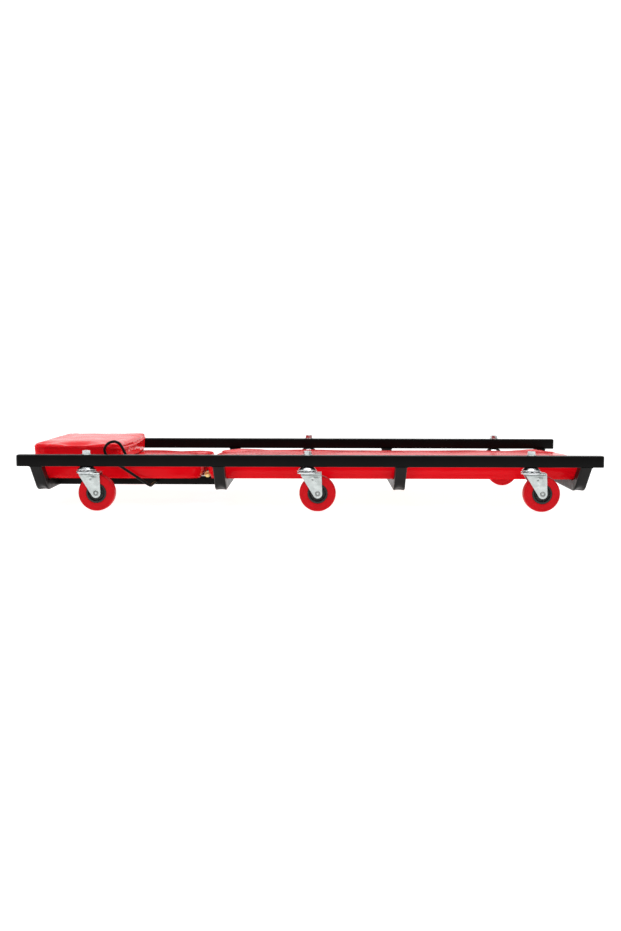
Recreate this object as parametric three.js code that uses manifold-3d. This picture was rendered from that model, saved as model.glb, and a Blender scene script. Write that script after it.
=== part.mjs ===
// Mechanic's creeper: a low-profile roll-about bed on six swivel casters.
// Two square-tube side rails carry four dropped cross members; the padded bed
// sits low between the rails, and the padded headrest is hinged to the frame
// and lifted by a cranked wire lever.
//
// Frame: millimetres, +Z up, floor at z = 0, origin at the middle of the
// footprint. The head end is at -X, the foot end at +X.
import * as THREE from "three";
import { mergeVertices } from "three/addons/utils/BufferGeometryUtils.js";
import Module from "manifold-3d";

// ---------------------------------------------------------------- dimensions
const LENGTH = 1016; // overall, over the rail end caps
const WIDTH = 433; // over the outer faces of the side rails
const GAP = 0.3; // assembly gap between pieces that touch

const RAIL = 20; // side rail: 20 mm square tube
const RAIL_WALL = 1.3;
const RAIL_TOP = 97.5;
const RAIL_BOTTOM = RAIL_TOP - RAIL;
const RAIL_Y = WIDTH / 2 - RAIL / 2; // centre line of a rail
const CAP_FLANGE = 2;

const CROSS_X = [-475.5, -158.5, 158.5, 478.5]; // centre lines of the cross members
const CROSS_WIDE = 20; // cross member: 20 mm square tube
const CROSS_DEEP = 20;
const CROSS_WALL = 1.3;
const CROSS_BOTTOM = 30;
const CROSS_TOP = CROSS_BOTTOM + CROSS_DEEP;
const LEG_ANGLE = (42 * Math.PI) / 180; // slope of the drop legs
const LEG_OUTER_Y = WIDTH / 2 - 0.5; // where a leg's outer face meets the rail
const BEND_OUTER = 36; // outer bend radius

const PAD_HALF = 150; // half width of the bed and the headrest
const BED_X = [-180, 490];
const BED_Z = [50.3, 80];
const HEAD_X = [-492, -197.5];
const HEAD_Z = [50.3, 77.5];
const PILLOW_X = [-497, -337];
const PILLOW_Z = [77.8, 113];
const PLY = 8.8; // plywood thickness
const COVER = 3.2; // cover and foam beside the plywood edge

const BAR = 19; // headrest bars: 19 mm square tube
const BAR_WALL = 1.3;
const BAR_Y = 66;
const BAR_Z = [31, 50];

const HINGE_X = -189.5; // headrest hinge axis
const HINGE_Z = 51.5;
const HINGE_R = 6.5;
const HINGE_BOLT_R = 2.5;

const ROD_R = 2.5; // lift lever: 5 mm wire rod
const LEVER_X = -284.4; // lever pivot axis
const LEVER_Z = 38;
const LEVER_Y = -161; // plane of the hand loop
const LEVER_END = 86; // far end of the lever shaft
const CRANK = 43; // throw of the crank under the headrest
const CRANK_HALF = 45;

const CASTER_X = [-388, -4.5, 384];
const WHEEL_R = 31.75; // 63.5 mm wheel
const TRAIL = 18; // swivel lead
const TREAD_HALF = 11;
const HUB_R = 17.3;
const HUB_HALF = 12.6;
const FORK_GAP = 26;
const FORK_T = 2;
const FORK_TOP = 67.8;
const RACE_TOP = 70;
const STEM_R = 4; // M8 stem
const AXLE_R = 3.5;

// ----------------------------------------------------------------- materials
const mat = (name, color, roughness, metalness) => {
  const m = new THREE.MeshStandardMaterial({ color, roughness, metalness });
  m.name = name;
  return m;
};
const framePaint = mat("frame_black", 0x161616, 0.42, 0.0);
const zinc = mat("zinc", 0xc9ced1, 0.3, 1.0);
const yellowZinc = mat("yellow_zinc", 0xc9a352, 0.35, 1.0);
const vinyl = mat("red_vinyl", 0xd40a1c, 0.38, 0.0);
const tyre = mat("red_tread", 0xd90a1e, 0.45, 0.0);
const plastic = mat("black_plastic", 0x1b1d1d, 0.55, 0.0);
const plywood = mat("plywood", 0xb98f5e, 0.75, 0.0);

// ------------------------------------------------------------ solid modelling
const wasm = await Module();
wasm.setup();

// A geometry as a manifold solid: shared vertices merged, slivers dropped.
function solid(geometry) {
  const g = geometry.index ? geometry.toNonIndexed() : geometry.clone();
  const bare = new THREE.BufferGeometry().setAttribute(
    "position",
    g.getAttribute("position"),
  );
  const merged = mergeVertices(bare, 1e-4);
  const src = merged.index.array;
  const keep = [];
  for (let i = 0; i < src.length; i += 3) {
    const [a, b, c] = [src[i], src[i + 1], src[i + 2]];
    if (a !== b && b !== c && a !== c) keep.push(a, b, c);
  }
  const make = (tris) =>
    new wasm.Manifold(
      new wasm.Mesh({
        numProp: 3,
        vertProperties: new Float32Array(merged.attributes.position.array),
        triVerts: new Uint32Array(tris),
      }),
    );
  let m = make(keep);
  if (m.volume() < 0) {
    const turned = [];
    for (let i = 0; i < keep.length; i += 3)
      turned.push(keep[i], keep[i + 2], keep[i + 1]);
    m = make(turned);
  }
  return m;
}
const joined = (...s) => s.reduce((a, b) => a.add(b));
const cut = (a, ...s) => s.reduce((x, b) => x.subtract(b), a);

function geometryOf(m) {
  const mesh = m.getMesh();
  const n = mesh.numProp;
  const v = new Float32Array(mesh.numVert * 3);
  for (let i = 0; i < mesh.numVert; i++)
    v.set(mesh.vertProperties.subarray(i * n, i * n + 3), i * 3);
  const g = new THREE.BufferGeometry()
    .setAttribute("position", new THREE.BufferAttribute(v, 3))
    .setIndex(new THREE.BufferAttribute(new Uint32Array(mesh.triVerts), 1));
  g.computeVertexNormals();
  return g;
}

// ------------------------------------------------------------------- shapes
const shapeOf = (points) =>
  new THREE.Shape(points.map(([a, b]) => new THREE.Vector2(a, b)));

// A (y, z) outline extruded along X from x0 to x1.
function alongX(points, x0, x1) {
  const g = new THREE.ExtrudeGeometry(shapeOf(points), {
    depth: x1 - x0,
    bevelEnabled: false,
    curveSegments: 6,
  });
  g.applyMatrix4(
    new THREE.Matrix4().makeBasis(
      new THREE.Vector3(0, 1, 0),
      new THREE.Vector3(0, 0, 1),
      new THREE.Vector3(1, 0, 0),
    ),
  );
  g.translate(x0, 0, 0);
  return solid(g);
}
// An (x, z) outline extruded along Y from y0 to y1.
function alongY(points, y0, y1) {
  const g = new THREE.ExtrudeGeometry(shapeOf(points), {
    depth: y1 - y0,
    bevelEnabled: false,
    curveSegments: 6,
  });
  g.applyMatrix4(
    new THREE.Matrix4().makeBasis(
      new THREE.Vector3(1, 0, 0),
      new THREE.Vector3(0, 0, 1),
      new THREE.Vector3(0, -1, 0),
    ),
  );
  g.translate(0, y1, 0);
  return solid(g);
}
// An (x, y) outline extruded along Z from z0 to z1.
function alongZ(points, z0, z1) {
  const g = new THREE.ExtrudeGeometry(shapeOf(points), {
    depth: z1 - z0,
    bevelEnabled: false,
    curveSegments: 6,
  });
  g.translate(0, 0, z0);
  return solid(g);
}
function box(x, y, z) {
  const g = new THREE.BoxGeometry(x[1] - x[0], y[1] - y[0], z[1] - z[0]);
  g.translate((x[0] + x[1]) / 2, (y[0] + y[1]) / 2, (z[0] + z[1]) / 2);
  return solid(g);
}
// A profile of [radius, height] points turned about Z.
function turnedZ(profile, segments) {
  const g = new THREE.LatheGeometry(
    profile.map(([r, h]) => new THREE.Vector2(r, h)),
    segments,
  );
  g.rotateX(Math.PI / 2);
  return solid(g);
}
// A profile of [radius, y] points turned about Y, at (x, z).
function turnedY(profile, segments, x, z) {
  const g = new THREE.LatheGeometry(
    profile.map(([r, h]) => new THREE.Vector2(r, h)),
    segments,
  );
  g.translate(x, 0, z);
  return solid(g);
}
function cylinderZ(r, z0, z1, segments, x = 0, y = 0) {
  const g = new THREE.CylinderGeometry(r, r, z1 - z0, segments);
  g.rotateX(Math.PI / 2);
  g.translate(x, y, (z0 + z1) / 2);
  return solid(g);
}
function cylinderY(r, y0, y1, segments, x = 0, z = 0) {
  const g = new THREE.CylinderGeometry(r, r, y1 - y0, segments);
  g.translate(x, (y0 + y1) / 2, z);
  return solid(g);
}
// A square or rectangle with chamfered corners, centred on (cy, cz).
function chamfered(w, h, c, cy = 0, cz = 0) {
  const [a, b] = [w / 2, h / 2];
  return [
    [-a + c, -b],
    [a - c, -b],
    [a, -b + c],
    [a, b - c],
    [a - c, b],
    [-a + c, b],
    [-a, b - c],
    [-a, -b + c],
  ].map(([y, z]) => [y + cy, z + cz]);
}
// A rectangle with rounded corners in plan.
function roundedPlan(x, y, r, steps = 4) {
  const pts = [];
  const corners = [
    [x[1] - r, y[1] - r, 0],
    [x[0] + r, y[1] - r, 90],
    [x[0] + r, y[0] + r, 180],
    [x[1] - r, y[0] + r, 270],
  ];
  for (const [cx, cy, a0] of corners)
    for (let i = 0; i <= steps; i++) {
      const a = ((a0 + (90 * i) / steps) * Math.PI) / 180;
      pts.push([cx + r * Math.cos(a), cy + r * Math.sin(a)]);
    }
  return pts;
}

// ---------------------------------------------------------------- side rails
function railSolid() {
  const half = LENGTH / 2 - CAP_FLANGE - GAP / 3;
  const cz = (RAIL_TOP + RAIL_BOTTOM) / 2;
  const outer = alongX(chamfered(RAIL, RAIL, 1.2, 0, cz), -half, half);
  const inner = alongX(
    chamfered(RAIL - 2 * RAIL_WALL, RAIL - 2 * RAIL_WALL, 0.6, 0, cz),
    -half - 1,
    half + 1,
  );
  const holes = CASTER_X.map((x) =>
    cylinderZ(STEM_R + 0.5, RAIL_BOTTOM - 2, RAIL_TOP + 2, 12, x, 0),
  );
  return cut(outer, inner, ...holes);
}
// End cap of a rail: a flange with a plug that goes inside the tube.
function capSolid(side) {
  const cz = (RAIL_TOP + RAIL_BOTTOM) / 2;
  const end = (side * LENGTH) / 2;
  const lo = Math.min(end, end - side * CAP_FLANGE);
  const flange = alongX(chamfered(RAIL, RAIL, 1.6, 0, cz), lo, lo + CAP_FLANGE);
  const inside = RAIL - 2 * RAIL_WALL - 2 * GAP;
  const p0 = end - side * CAP_FLANGE * 0.5;
  const p1 = end - side * 16;
  const plug = alongX(
    chamfered(inside, inside, 1.0, 0, cz),
    Math.min(p0, p1),
    Math.max(p0, p1),
  );
  return joined(flange, plug);
}

// -------------------------------------------------------------- cross member
// Side outline of the bent tube in the (y, z) plane, grown inwards by `inset`
// and carried past the cut ends by `past`.
function bentOutline(inset, past) {
  const zo = CROSS_BOTTOM + inset;
  const ro = BEND_OUTER - inset;
  const zi = CROSS_TOP - inset;
  const ri = BEND_OUTER - CROSS_DEEP + inset;
  const top = RAIL_BOTTOM - GAP;
  // where the flat part starts: from the outer face's line on the rail
  const sharp = LEG_OUTER_Y - (top - CROSS_BOTTOM) / Math.tan(LEG_ANGLE);
  const flat = sharp - BEND_OUTER * Math.tan(LEG_ANGLE / 2);
  const centre = CROSS_BOTTOM + BEND_OUTER;
  const zTop = top + past;
  const side = [];
  const steps = 5;
  // outer face of the +Y side: flat, bend, leg
  for (let i = 0; i <= steps; i++) {
    const a = (LEG_ANGLE * i) / steps;
    side.push([flat + ro * Math.sin(a), centre - ro * Math.cos(a)]);
  }
  const [yo, zo1] = side[side.length - 1];
  side.push([yo + (zTop - zo1) / Math.tan(LEG_ANGLE), zTop]);
  // inner face, back down
  const ai = LEG_ANGLE;
  const yi = flat + ri * Math.sin(ai);
  const zi1 = centre - ri * Math.cos(ai);
  side.push([yi + (zTop - zi1) / Math.tan(LEG_ANGLE), zTop]);
  for (let i = steps; i >= 0; i--) {
    const a = (LEG_ANGLE * i) / steps;
    side.push([flat + ri * Math.sin(a), centre - ri * Math.cos(a)]);
  }
  const other = side.map(([y, z]) => [-y, z]).reverse();
  return [...side, ...other];
}
function crossSolid() {
  const w = CROSS_WIDE / 2;
  const outer = alongX(bentOutline(0, 0), -w, w);
  const inner = alongX(
    bentOutline(CROSS_WALL, 3),
    -w + CROSS_WALL,
    w - CROSS_WALL,
  );
  return cut(outer, inner);
}

// ------------------------------------------------------------- headrest bars
const BAR_X = [
  CROSS_X[0] + CROSS_WIDE / 2 + GAP,
  CROSS_X[1] - CROSS_WIDE / 2 - GAP,
];
function barSolid() {
  const cz = (BAR_Z[0] + BAR_Z[1]) / 2;
  const outer = alongX(chamfered(BAR, BAR, 1, 0, cz), BAR_X[0], BAR_X[1]);
  const inner = alongX(
    chamfered(BAR - 2 * BAR_WALL, BAR - 2 * BAR_WALL, 0.5, 0, cz),
    BAR_X[0] - 1,
    BAR_X[1] + 1,
  );
  const hole = cylinderY(ROD_R + 0.8, -BAR, BAR, 12, LEVER_X, LEVER_Z);
  return cut(outer, inner, hole);
}

// ------------------------------------------------------------ headrest hinge
// Half-round ear around the hinge axis, as (x, z) points from angle a0 to a1.
const ear = (r, a0, a1, n = 8) =>
  Array.from({ length: n + 1 }, (_, i) => {
    const a = ((a0 + ((a1 - a0) * i) / n) * Math.PI) / 180;
    return [HINGE_X + r * Math.cos(a), HINGE_Z + r * Math.sin(a)];
  });
// Fixed ear: a gusset on the cross member's side that rises to the hinge bolt,
// far enough from the bar for the nut.
const EAR_T = 2.5;
const NUT_T = 4;
const BRACKET_Y = BAR_Y + BAR / 2 + NUT_T + 3 * GAP;
const LEAF_Y = BRACKET_Y + EAR_T + GAP;
const span = (side, a, b) => (side > 0 ? [a, b] : [-b, -a]);
function bracketSolid(side) {
  const y = span(side, BRACKET_Y, BRACKET_Y + EAR_T);
  const weld = CROSS_X[1] - CROSS_WIDE / 2 - GAP;
  const plate = alongY(
    [[weld - 13, 33.5], [weld, 33.5], [weld, 47.5], ...ear(HINGE_R, -20, 200)],
    y[0],
    y[1],
  );
  return cut(
    plate,
    cylinderY(HINGE_BOLT_R + GAP, y[0] - 1, y[1] + 1, 12, HINGE_X, HINGE_Z),
  );
}
// Moving leaf: a flange under the headrest board and an ear beside the bracket.
function leafSolid(side) {
  const z1 = HEAD_Z[0] - GAP;
  const z0 = z1 - 2;
  const flange = box([-238, -200], span(side, LEAF_Y, LEAF_Y + 28), [z0, z1]);
  const [ya, yb] = span(side, LEAF_Y, LEAF_Y + EAR_T);
  const plate = alongY(
    [
      [-238, z0],
      [-186, z0],
      ...ear(HINGE_R - 0.5, -35, 165),
      [-196.6, z1],
      [-238, z1],
    ],
    ya,
    yb,
  );
  return cut(
    joined(flange, plate),
    cylinderY(HINGE_BOLT_R + GAP, ya - 1, yb + 1, 12, HINGE_X, HINGE_Z),
  );
}
// Hinge bolt: nut inside the bracket, shank, hex head outside the leaf.
function hingeBoltSolid(side) {
  const out = LEAF_Y + EAR_T + GAP;
  const head = cylinderY(4.3, out, out + 3.6, 6, 0, 0);
  const end = BRACKET_Y - GAP;
  const shank = cylinderY(HINGE_BOLT_R, end - NUT_T - GAP, out + 1, 12, 0, 0);
  const nut = cylinderY(4.3, end - NUT_T, end, 6, 0, 0);
  const g = geometryOf(joined(head, shank, nut));
  if (side < 0) g.rotateZ(Math.PI);
  g.translate(HINGE_X, 0, HINGE_Z);
  return solid(g);
}

// ---------------------------------------------------------------- lift lever
// One bent wire rod: hand loop, arm, shaft through both bars, cranked middle.
function leverSolid() {
  const y = LEVER_Y;
  const loop = [
    [-321.6, 82.6],
    [-328.0, 94.9],
    [-334.6, 107.8],
    [-339.7, 114.1],
    [-347.7, 116.9],
    [-354.9, 115.4],
    [-361.6, 110.4],
    [-365.2, 102.2],
    [-362.4, 93.6],
    [-353.8, 84.6],
    [-344.2, 77.7],
    [-334.6, 71.4],
  ].map(([x, z]) => new THREE.Vector3(x, y, z));
  const bend = (a, b, c, r, n = 4) => {
    const p = b.clone().add(a.clone().sub(b).setLength(r));
    const q = b.clone().add(c.clone().sub(b).setLength(r));
    return new THREE.QuadraticBezierCurve3(p, b, q).getPoints(n);
  };
  const v = (x, yy, z) => new THREE.Vector3(x, yy, z);
  const corners = [
    loop[loop.length - 1],
    v(LEVER_X, y, LEVER_Z),
    v(LEVER_X, -CRANK_HALF, LEVER_Z),
    v(LEVER_X - CRANK, -CRANK_HALF, LEVER_Z),
    v(LEVER_X - CRANK, CRANK_HALF, LEVER_Z),
    v(LEVER_X, CRANK_HALF, LEVER_Z),
    v(LEVER_X, LEVER_END, LEVER_Z),
  ];
  const points = new THREE.CatmullRomCurve3(loop).getPoints(34);
  for (let i = 1; i < corners.length - 1; i++)
    points.push(...bend(corners[i - 1], corners[i], corners[i + 1], 8));
  points.push(corners[corners.length - 1]);
  // straight runs and bends as one path
  const path = new THREE.CurvePath();
  for (let i = 1; i < points.length; i++)
    path.add(new THREE.LineCurve3(points[i - 1], points[i]));
  const section = new THREE.Shape(
    Array.from({ length: 6 }, (_, i) => {
      const a = ((i + 0.5) * Math.PI) / 3;
      return new THREE.Vector2(ROD_R * Math.cos(a), ROD_R * Math.sin(a));
    }),
  );
  const g = new THREE.ExtrudeGeometry(section, {
    steps: 84,
    bevelEnabled: false,
    extrudePath: path,
  });
  return solid(g);
}

// ------------------------------------------------------------- upholstery
// Padded panel: a rounded block whose underside is recessed for its plywood.
function padSolid(x, z, recess) {
  const y = [-PAD_HALF, PAD_HALF];
  const body = alongZ(roundedPlan(x, y, 10), z[0], z[1] - 5);
  const crown = alongZ(
    roundedPlan([x[0] + 3, x[1] - 3], [y[0] + 3, y[1] - 3], 9),
    z[1] - 5.5,
    z[1],
  );
  const pad = joined(body, crown);
  if (!recess) return pad;
  const hollow = alongZ(
    roundedPlan(
      [x[0] + COVER, x[1] - COVER],
      [y[0] + COVER, y[1] - COVER],
      8,
      3,
    ),
    z[0] - 2,
    z[0] + PLY + 2 * GAP,
  );
  return cut(pad, hollow);
}
function plySolid(x, z) {
  const c = COVER + GAP;
  return alongZ(
    roundedPlan([x[0] + c, x[1] - c], [-PAD_HALF + c, PAD_HALF - c], 7.5, 3),
    z[0] + GAP,
    z[0] + GAP + PLY,
  );
}

// ------------------------------------------------------------------- casters
// All caster pieces are modelled about the stem axis at x = y = 0.
function stemSolid() {
  return turnedZ(
    [
      [0, 64.1],
      [STEM_R, 64.1],
      [STEM_R, 71.9],
      [15.6, 71.1],
      [15.6, 72.7],
      [12.6, 76.5],
      [9, RAIL_BOTTOM - GAP],
      [STEM_R, RAIL_BOTTOM - GAP],
      [STEM_R, 105.3],
      [0, 105.3],
    ],
    16,
  );
}
function nutSolid() {
  const hex = cylinderZ(7.5, RAIL_TOP + GAP, RAIL_TOP + GAP + 7, 6);
  return cut(hex, cylinderZ(STEM_R + 0.35, RAIL_TOP - 2, RAIL_TOP + 12, 12));
}
function forkSolid() {
  const halfOut = FORK_GAP / 2 + FORK_T;
  // side outline of a leg, tangent to the round end about the axle
  const r = 8;
  const [ax, az] = [TRAIL, WHEEL_R];
  const leg = [];
  leg.push([24.6, FORK_TOP - 0.4]);
  leg.push([-10.5, FORK_TOP - 0.4]);
  leg.push([-11, 63.5]);
  for (let i = 0; i <= 6; i++) {
    const a = ((213 + (147 * i) / 6) * Math.PI) / 180;
    leg.push([ax + r * Math.cos(a), az + r * Math.sin(a)]);
  }
  const hole = cylinderY(AXLE_R + 0.4, -30, 30, 12, ax, az);
  const legs = [-1, 1].map((s) =>
    alongY(
      leg,
      s > 0 ? halfOut - FORK_T : -halfOut,
      s > 0 ? halfOut : -halfOut + FORK_T,
    ),
  );
  const plate = joined(
    cylinderZ(18, FORK_TOP - 2, FORK_TOP, 24),
    box([-10.5, 24.6], [-halfOut, halfOut], [FORK_TOP - 2, FORK_TOP]),
  );
  const race = turnedZ(
    [
      [12.6, FORK_TOP - 0.5],
      [17.6, FORK_TOP - 0.5],
      [17.6, RACE_TOP],
      [15.8, RACE_TOP],
      [12.6, FORK_TOP + 0.6],
      [12.6, FORK_TOP - 0.5],
    ],
    24,
  );
  return cut(
    joined(plate, race, ...legs),
    hole,
    cylinderZ(STEM_R + 0.8, FORK_TOP - 4, FORK_TOP + 4, 12),
  );
}
// Axle: a rivet through the fork and the hub.
function axleSolid() {
  const h = FORK_GAP / 2 + FORK_T + 0.2;
  return turnedY(
    [
      [0, -h - 1.6],
      [3.8, -h - 1.6],
      [5.2, -h],
      [AXLE_R, -h],
      [AXLE_R, h],
      [5.2, h],
      [3.8, h + 1.6],
      [0, h + 1.6],
    ],
    12,
    TRAIL,
    WHEEL_R,
  );
}
function hubSolid() {
  const b = AXLE_R + 0.5;
  return turnedY(
    [
      [b, -HUB_HALF],
      [8, -HUB_HALF],
      [9, -8.5],
      [HUB_R, -TREAD_HALF + 0.4],
      [HUB_R, TREAD_HALF - 0.4],
      [9, 8.5],
      [8, HUB_HALF],
      [b, HUB_HALF],
      [b, -HUB_HALF],
    ],
    20,
    TRAIL,
    WHEEL_R,
  );
}
function treadSolid() {
  return turnedY(
    [
      [HUB_R + GAP, -TREAD_HALF],
      [27.5, -TREAD_HALF],
      [WHEEL_R, -7],
      [WHEEL_R, 7],
      [27.5, TREAD_HALF],
      [HUB_R + GAP, TREAD_HALF],
      [HUB_R + GAP, -TREAD_HALF],
    ],
    30,
    TRAIL,
    WHEEL_R,
  );
}

// ------------------------------------------------------------------ assembly
const creeper = new THREE.Group();
function add(parent, name, geometry, material) {
  const mesh = new THREE.Mesh(geometry, material);
  mesh.name = name;
  parent.add(mesh);
  return mesh;
}
const at = (x, y, z = 0) => {
  const g = new THREE.Group();
  g.position.set(x, y, z);
  creeper.add(g);
  return g;
};

// frame
const railGeometry = geometryOf(railSolid());
const headCap = geometryOf(capSolid(-1));
const footCap = geometryOf(capSolid(1));
for (const [side, y] of [
  ["near", -RAIL_Y],
  ["far", RAIL_Y],
]) {
  const g = at(0, y);
  add(g, `side_rail_${side}`, railGeometry, framePaint);
  add(g, `rail_end_cap_head_${side}`, headCap, plastic);
  add(g, `rail_end_cap_foot_${side}`, footCap, plastic);
}
const crossGeometry = geometryOf(crossSolid());
["head_end", "head_hinge", "bed_middle", "foot_end"].forEach((place, i) => {
  const g = at(CROSS_X[i], 0);
  add(g, `cross_member_${place}`, crossGeometry, framePaint);
});
const barGeometry = geometryOf(barSolid());
add(at(0, -BAR_Y), "headrest_bar_near", barGeometry, framePaint);
add(at(0, BAR_Y), "headrest_bar_far", barGeometry, framePaint);
for (const [side, s] of [
  ["near", -1],
  ["far", 1],
]) {
  add(creeper, `hinge_bracket_${side}`, geometryOf(bracketSolid(s)), framePaint);
  add(creeper, `hinge_bolt_${side}`, geometryOf(hingeBoltSolid(s)), yellowZinc);
  add(creeper, `hinge_leaf_${side}`, geometryOf(leafSolid(s)), zinc);
}

// bed and headrest
add(creeper, "bed_board", geometryOf(plySolid(BED_X, BED_Z)), plywood);
add(creeper, "bed_pad", geometryOf(padSolid(BED_X, BED_Z, true)), vinyl);
add(creeper, "headrest_board", geometryOf(plySolid(HEAD_X, HEAD_Z)), plywood);
add(creeper, "headrest_pad", geometryOf(padSolid(HEAD_X, HEAD_Z, true)), vinyl);
add(
  creeper,
  "head_pillow",
  geometryOf(padSolid(PILLOW_X, PILLOW_Z, false)),
  vinyl,
);
add(creeper, "lift_lever", geometryOf(leverSolid()), framePaint);

// casters
const casterGeometry = {
  stem: [geometryOf(stemSolid()), zinc],
  nut: [geometryOf(nutSolid()), zinc],
  fork: [geometryOf(forkSolid()), zinc],
  axle: [geometryOf(axleSolid()), zinc],
  hub: [geometryOf(hubSolid()), plastic],
  tread: [geometryOf(treadSolid()), tyre],
};
["head", "middle", "foot"].forEach((place, i) => {
  for (const [side, y] of [
    ["near", -RAIL_Y],
    ["far", RAIL_Y],
  ]) {
    const g = at(CASTER_X[i], y);
    for (const [piece, [geometry, material]] of Object.entries(casterGeometry))
      add(g, `caster_${piece}_${place}_${side}`, geometry, material);
  }
});

export default creeper;
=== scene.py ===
"""Mechanic's creeper: the visual model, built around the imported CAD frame.

Row frame, metres: head end at -X, foot end at +X, the lever side is -Y, +Z up.
Lengths in this file are written in millimetres and turned into metres by MM.
"""

import math
import random

import bmesh
import bpy
import numpy as np
from mathutils import Matrix, Vector, noise
from mathutils.bvhtree import BVHTree


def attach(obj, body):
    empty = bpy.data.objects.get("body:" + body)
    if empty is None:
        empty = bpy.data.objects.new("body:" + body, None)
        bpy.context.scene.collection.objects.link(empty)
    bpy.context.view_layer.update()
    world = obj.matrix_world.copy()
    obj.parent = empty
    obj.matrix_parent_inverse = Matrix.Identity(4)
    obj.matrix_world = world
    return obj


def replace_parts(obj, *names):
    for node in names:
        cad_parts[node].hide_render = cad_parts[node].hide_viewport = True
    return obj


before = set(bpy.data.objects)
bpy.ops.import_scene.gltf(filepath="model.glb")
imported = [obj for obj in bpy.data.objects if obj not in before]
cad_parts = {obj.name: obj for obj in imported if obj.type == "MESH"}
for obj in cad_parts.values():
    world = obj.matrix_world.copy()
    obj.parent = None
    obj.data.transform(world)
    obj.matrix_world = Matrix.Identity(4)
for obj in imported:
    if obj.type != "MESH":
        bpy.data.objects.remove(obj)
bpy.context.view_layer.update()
MM = 0.001
SCENE = bpy.context.scene

# --------------------------------------------------------------- dimensions
RAIL, RAIL_R, RAIL_WALL = 20.0, 2.2, 1.3
RAIL_Y, RAIL_LOW, RAIL_TOP = 206.5, 77.5, 97.5
RAIL_HALF = 505.9
CROSS_X = (-475.5, -158.5, 158.5, 478.5)
BAR_Y = 66.0
BED_X, BED_Z = (-180.0, 490.0), (50.3, 80.0)
HEAD_X, HEAD_Z = (-492.0, -197.5), (50.3, 77.5)
PILLOW_X, PILLOW_Z = (-497.0, -337.0), (77.8, 113.0)
PAD_HALF = 150.0
PLY_T = 8.8
HINGE_X, HINGE_Z = -189.5, 51.5
LEVER_X, LEVER_Z, LEVER_Y = -284.4, 38.0, -161.0
ENDS = {"head": -388.0, "middle": -4.5, "foot": 384.0}
SIDES = {"near": -RAIL_Y, "far": RAIL_Y}
TRAIL, AXLE_Z, WHEEL_R = 18.0, 31.75, 31.75


# ================================================================ materials
def material(name):
    m = bpy.data.materials.new(name)
    m.use_nodes = True
    nt = m.node_tree
    return m, nt, nt.nodes["Principled BSDF"]


def node(nt, kind, **settings):
    n = nt.nodes.new(kind)
    for key, value in settings.items():
        if key in n.inputs:
            n.inputs[key].default_value = value
        else:
            setattr(n, key, value)
    return n


def coords(nt, scale=(1, 1, 1), rotation=(0, 0, 0)):
    tc = node(nt, "ShaderNodeTexCoord")
    mp = node(nt, "ShaderNodeMapping")
    mp.inputs["Scale"].default_value = scale
    mp.inputs["Rotation"].default_value = rotation
    nt.links.new(tc.outputs["Object"], mp.inputs["Vector"])
    return mp.outputs["Vector"]


def ramp(nt, fac, stops):
    r = node(nt, "ShaderNodeValToRGB")
    nt.links.new(fac, r.inputs["Fac"])
    els = r.color_ramp.elements
    while len(els) < len(stops):
        els.new(0.5)
    for el, (pos, col) in zip(els, stops):
        el.position = pos
        el.color = (*col, 1) if len(col) == 3 else col
    return r.outputs["Color"]


def noise_tex(nt, vec, scale, detail=3.0, rough=0.5, distortion=0.0):
    n = node(nt, "ShaderNodeTexNoise", Scale=scale, Detail=detail)
    n.inputs["Roughness"].default_value = rough
    n.inputs["Distortion"].default_value = distortion
    nt.links.new(vec, n.inputs["Vector"])
    return n.outputs["Fac"]


def voronoi(nt, vec, scale, feature="F1", rand=1.0):
    n = node(nt, "ShaderNodeTexVoronoi", Scale=scale)
    n.feature = feature
    n.inputs["Randomness"].default_value = rand
    nt.links.new(vec, n.inputs["Vector"])
    return n.outputs["Distance"]


def math_node(nt, op, a, b=None, clamp=False):
    n = node(nt, "ShaderNodeMath", operation=op)
    n.use_clamp = clamp
    for i, v in enumerate((a, b)):
        if v is None:
            continue
        if isinstance(v, (int, float)):
            n.inputs[i].default_value = v
        else:
            nt.links.new(v, n.inputs[i])
    return n.outputs[0]


def span_map(nt, value, low, high, a=0.0, b=1.0):
    n = node(nt, "ShaderNodeMapRange")
    nt.links.new(value, n.inputs["Value"])
    n.inputs["From Min"].default_value = a
    n.inputs["From Max"].default_value = b
    n.inputs["To Min"].default_value = low
    n.inputs["To Max"].default_value = high
    return n.outputs["Result"]


def bump(nt, shader, layers):
    """Chained bump layers: (height socket, strength, distance in metres)."""
    previous = None
    for height, strength, distance in layers:
        b = node(nt, "ShaderNodeBump")
        b.inputs["Strength"].default_value = strength
        b.inputs["Distance"].default_value = distance
        nt.links.new(height, b.inputs["Height"])
        if previous is not None:
            nt.links.new(previous, b.inputs["Normal"])
        previous = b.outputs["Normal"]
    nt.links.new(previous, shader.inputs["Normal"])


def vinyl_material(name, deep, bright, rough=0.34):
    m, nt, s = material(name)
    v = coords(nt)
    broad = noise_tex(nt, v, 7, 3, 0.55)
    fine = noise_tex(nt, v, 190, 4, 0.6)
    nt.links.new(
        ramp(nt, broad, [(0.3, deep), (0.7, bright)]), s.inputs["Base Color"]
    )
    nt.links.new(
        span_map(nt, noise_tex(nt, v, 26, 4, 0.6), rough - 0.05, rough + 0.06, 0.3, 0.7),
        s.inputs["Roughness"],
    )
    s.inputs["IOR"].default_value = 1.19
    s.inputs["Specular IOR Level"].default_value = 0.5
    grain = voronoi(nt, v, 820, "SMOOTH_F1")
    creases = voronoi(nt, v, 430, "DISTANCE_TO_EDGE")
    bump(
        nt,
        s,
        [
            (broad, 0.10, 0.0012),
            (fine, 0.12, 0.00035),
            (creases, 0.10, 0.00018),
            (grain, 0.16, 0.00016),
        ],
    )
    return m


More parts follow.
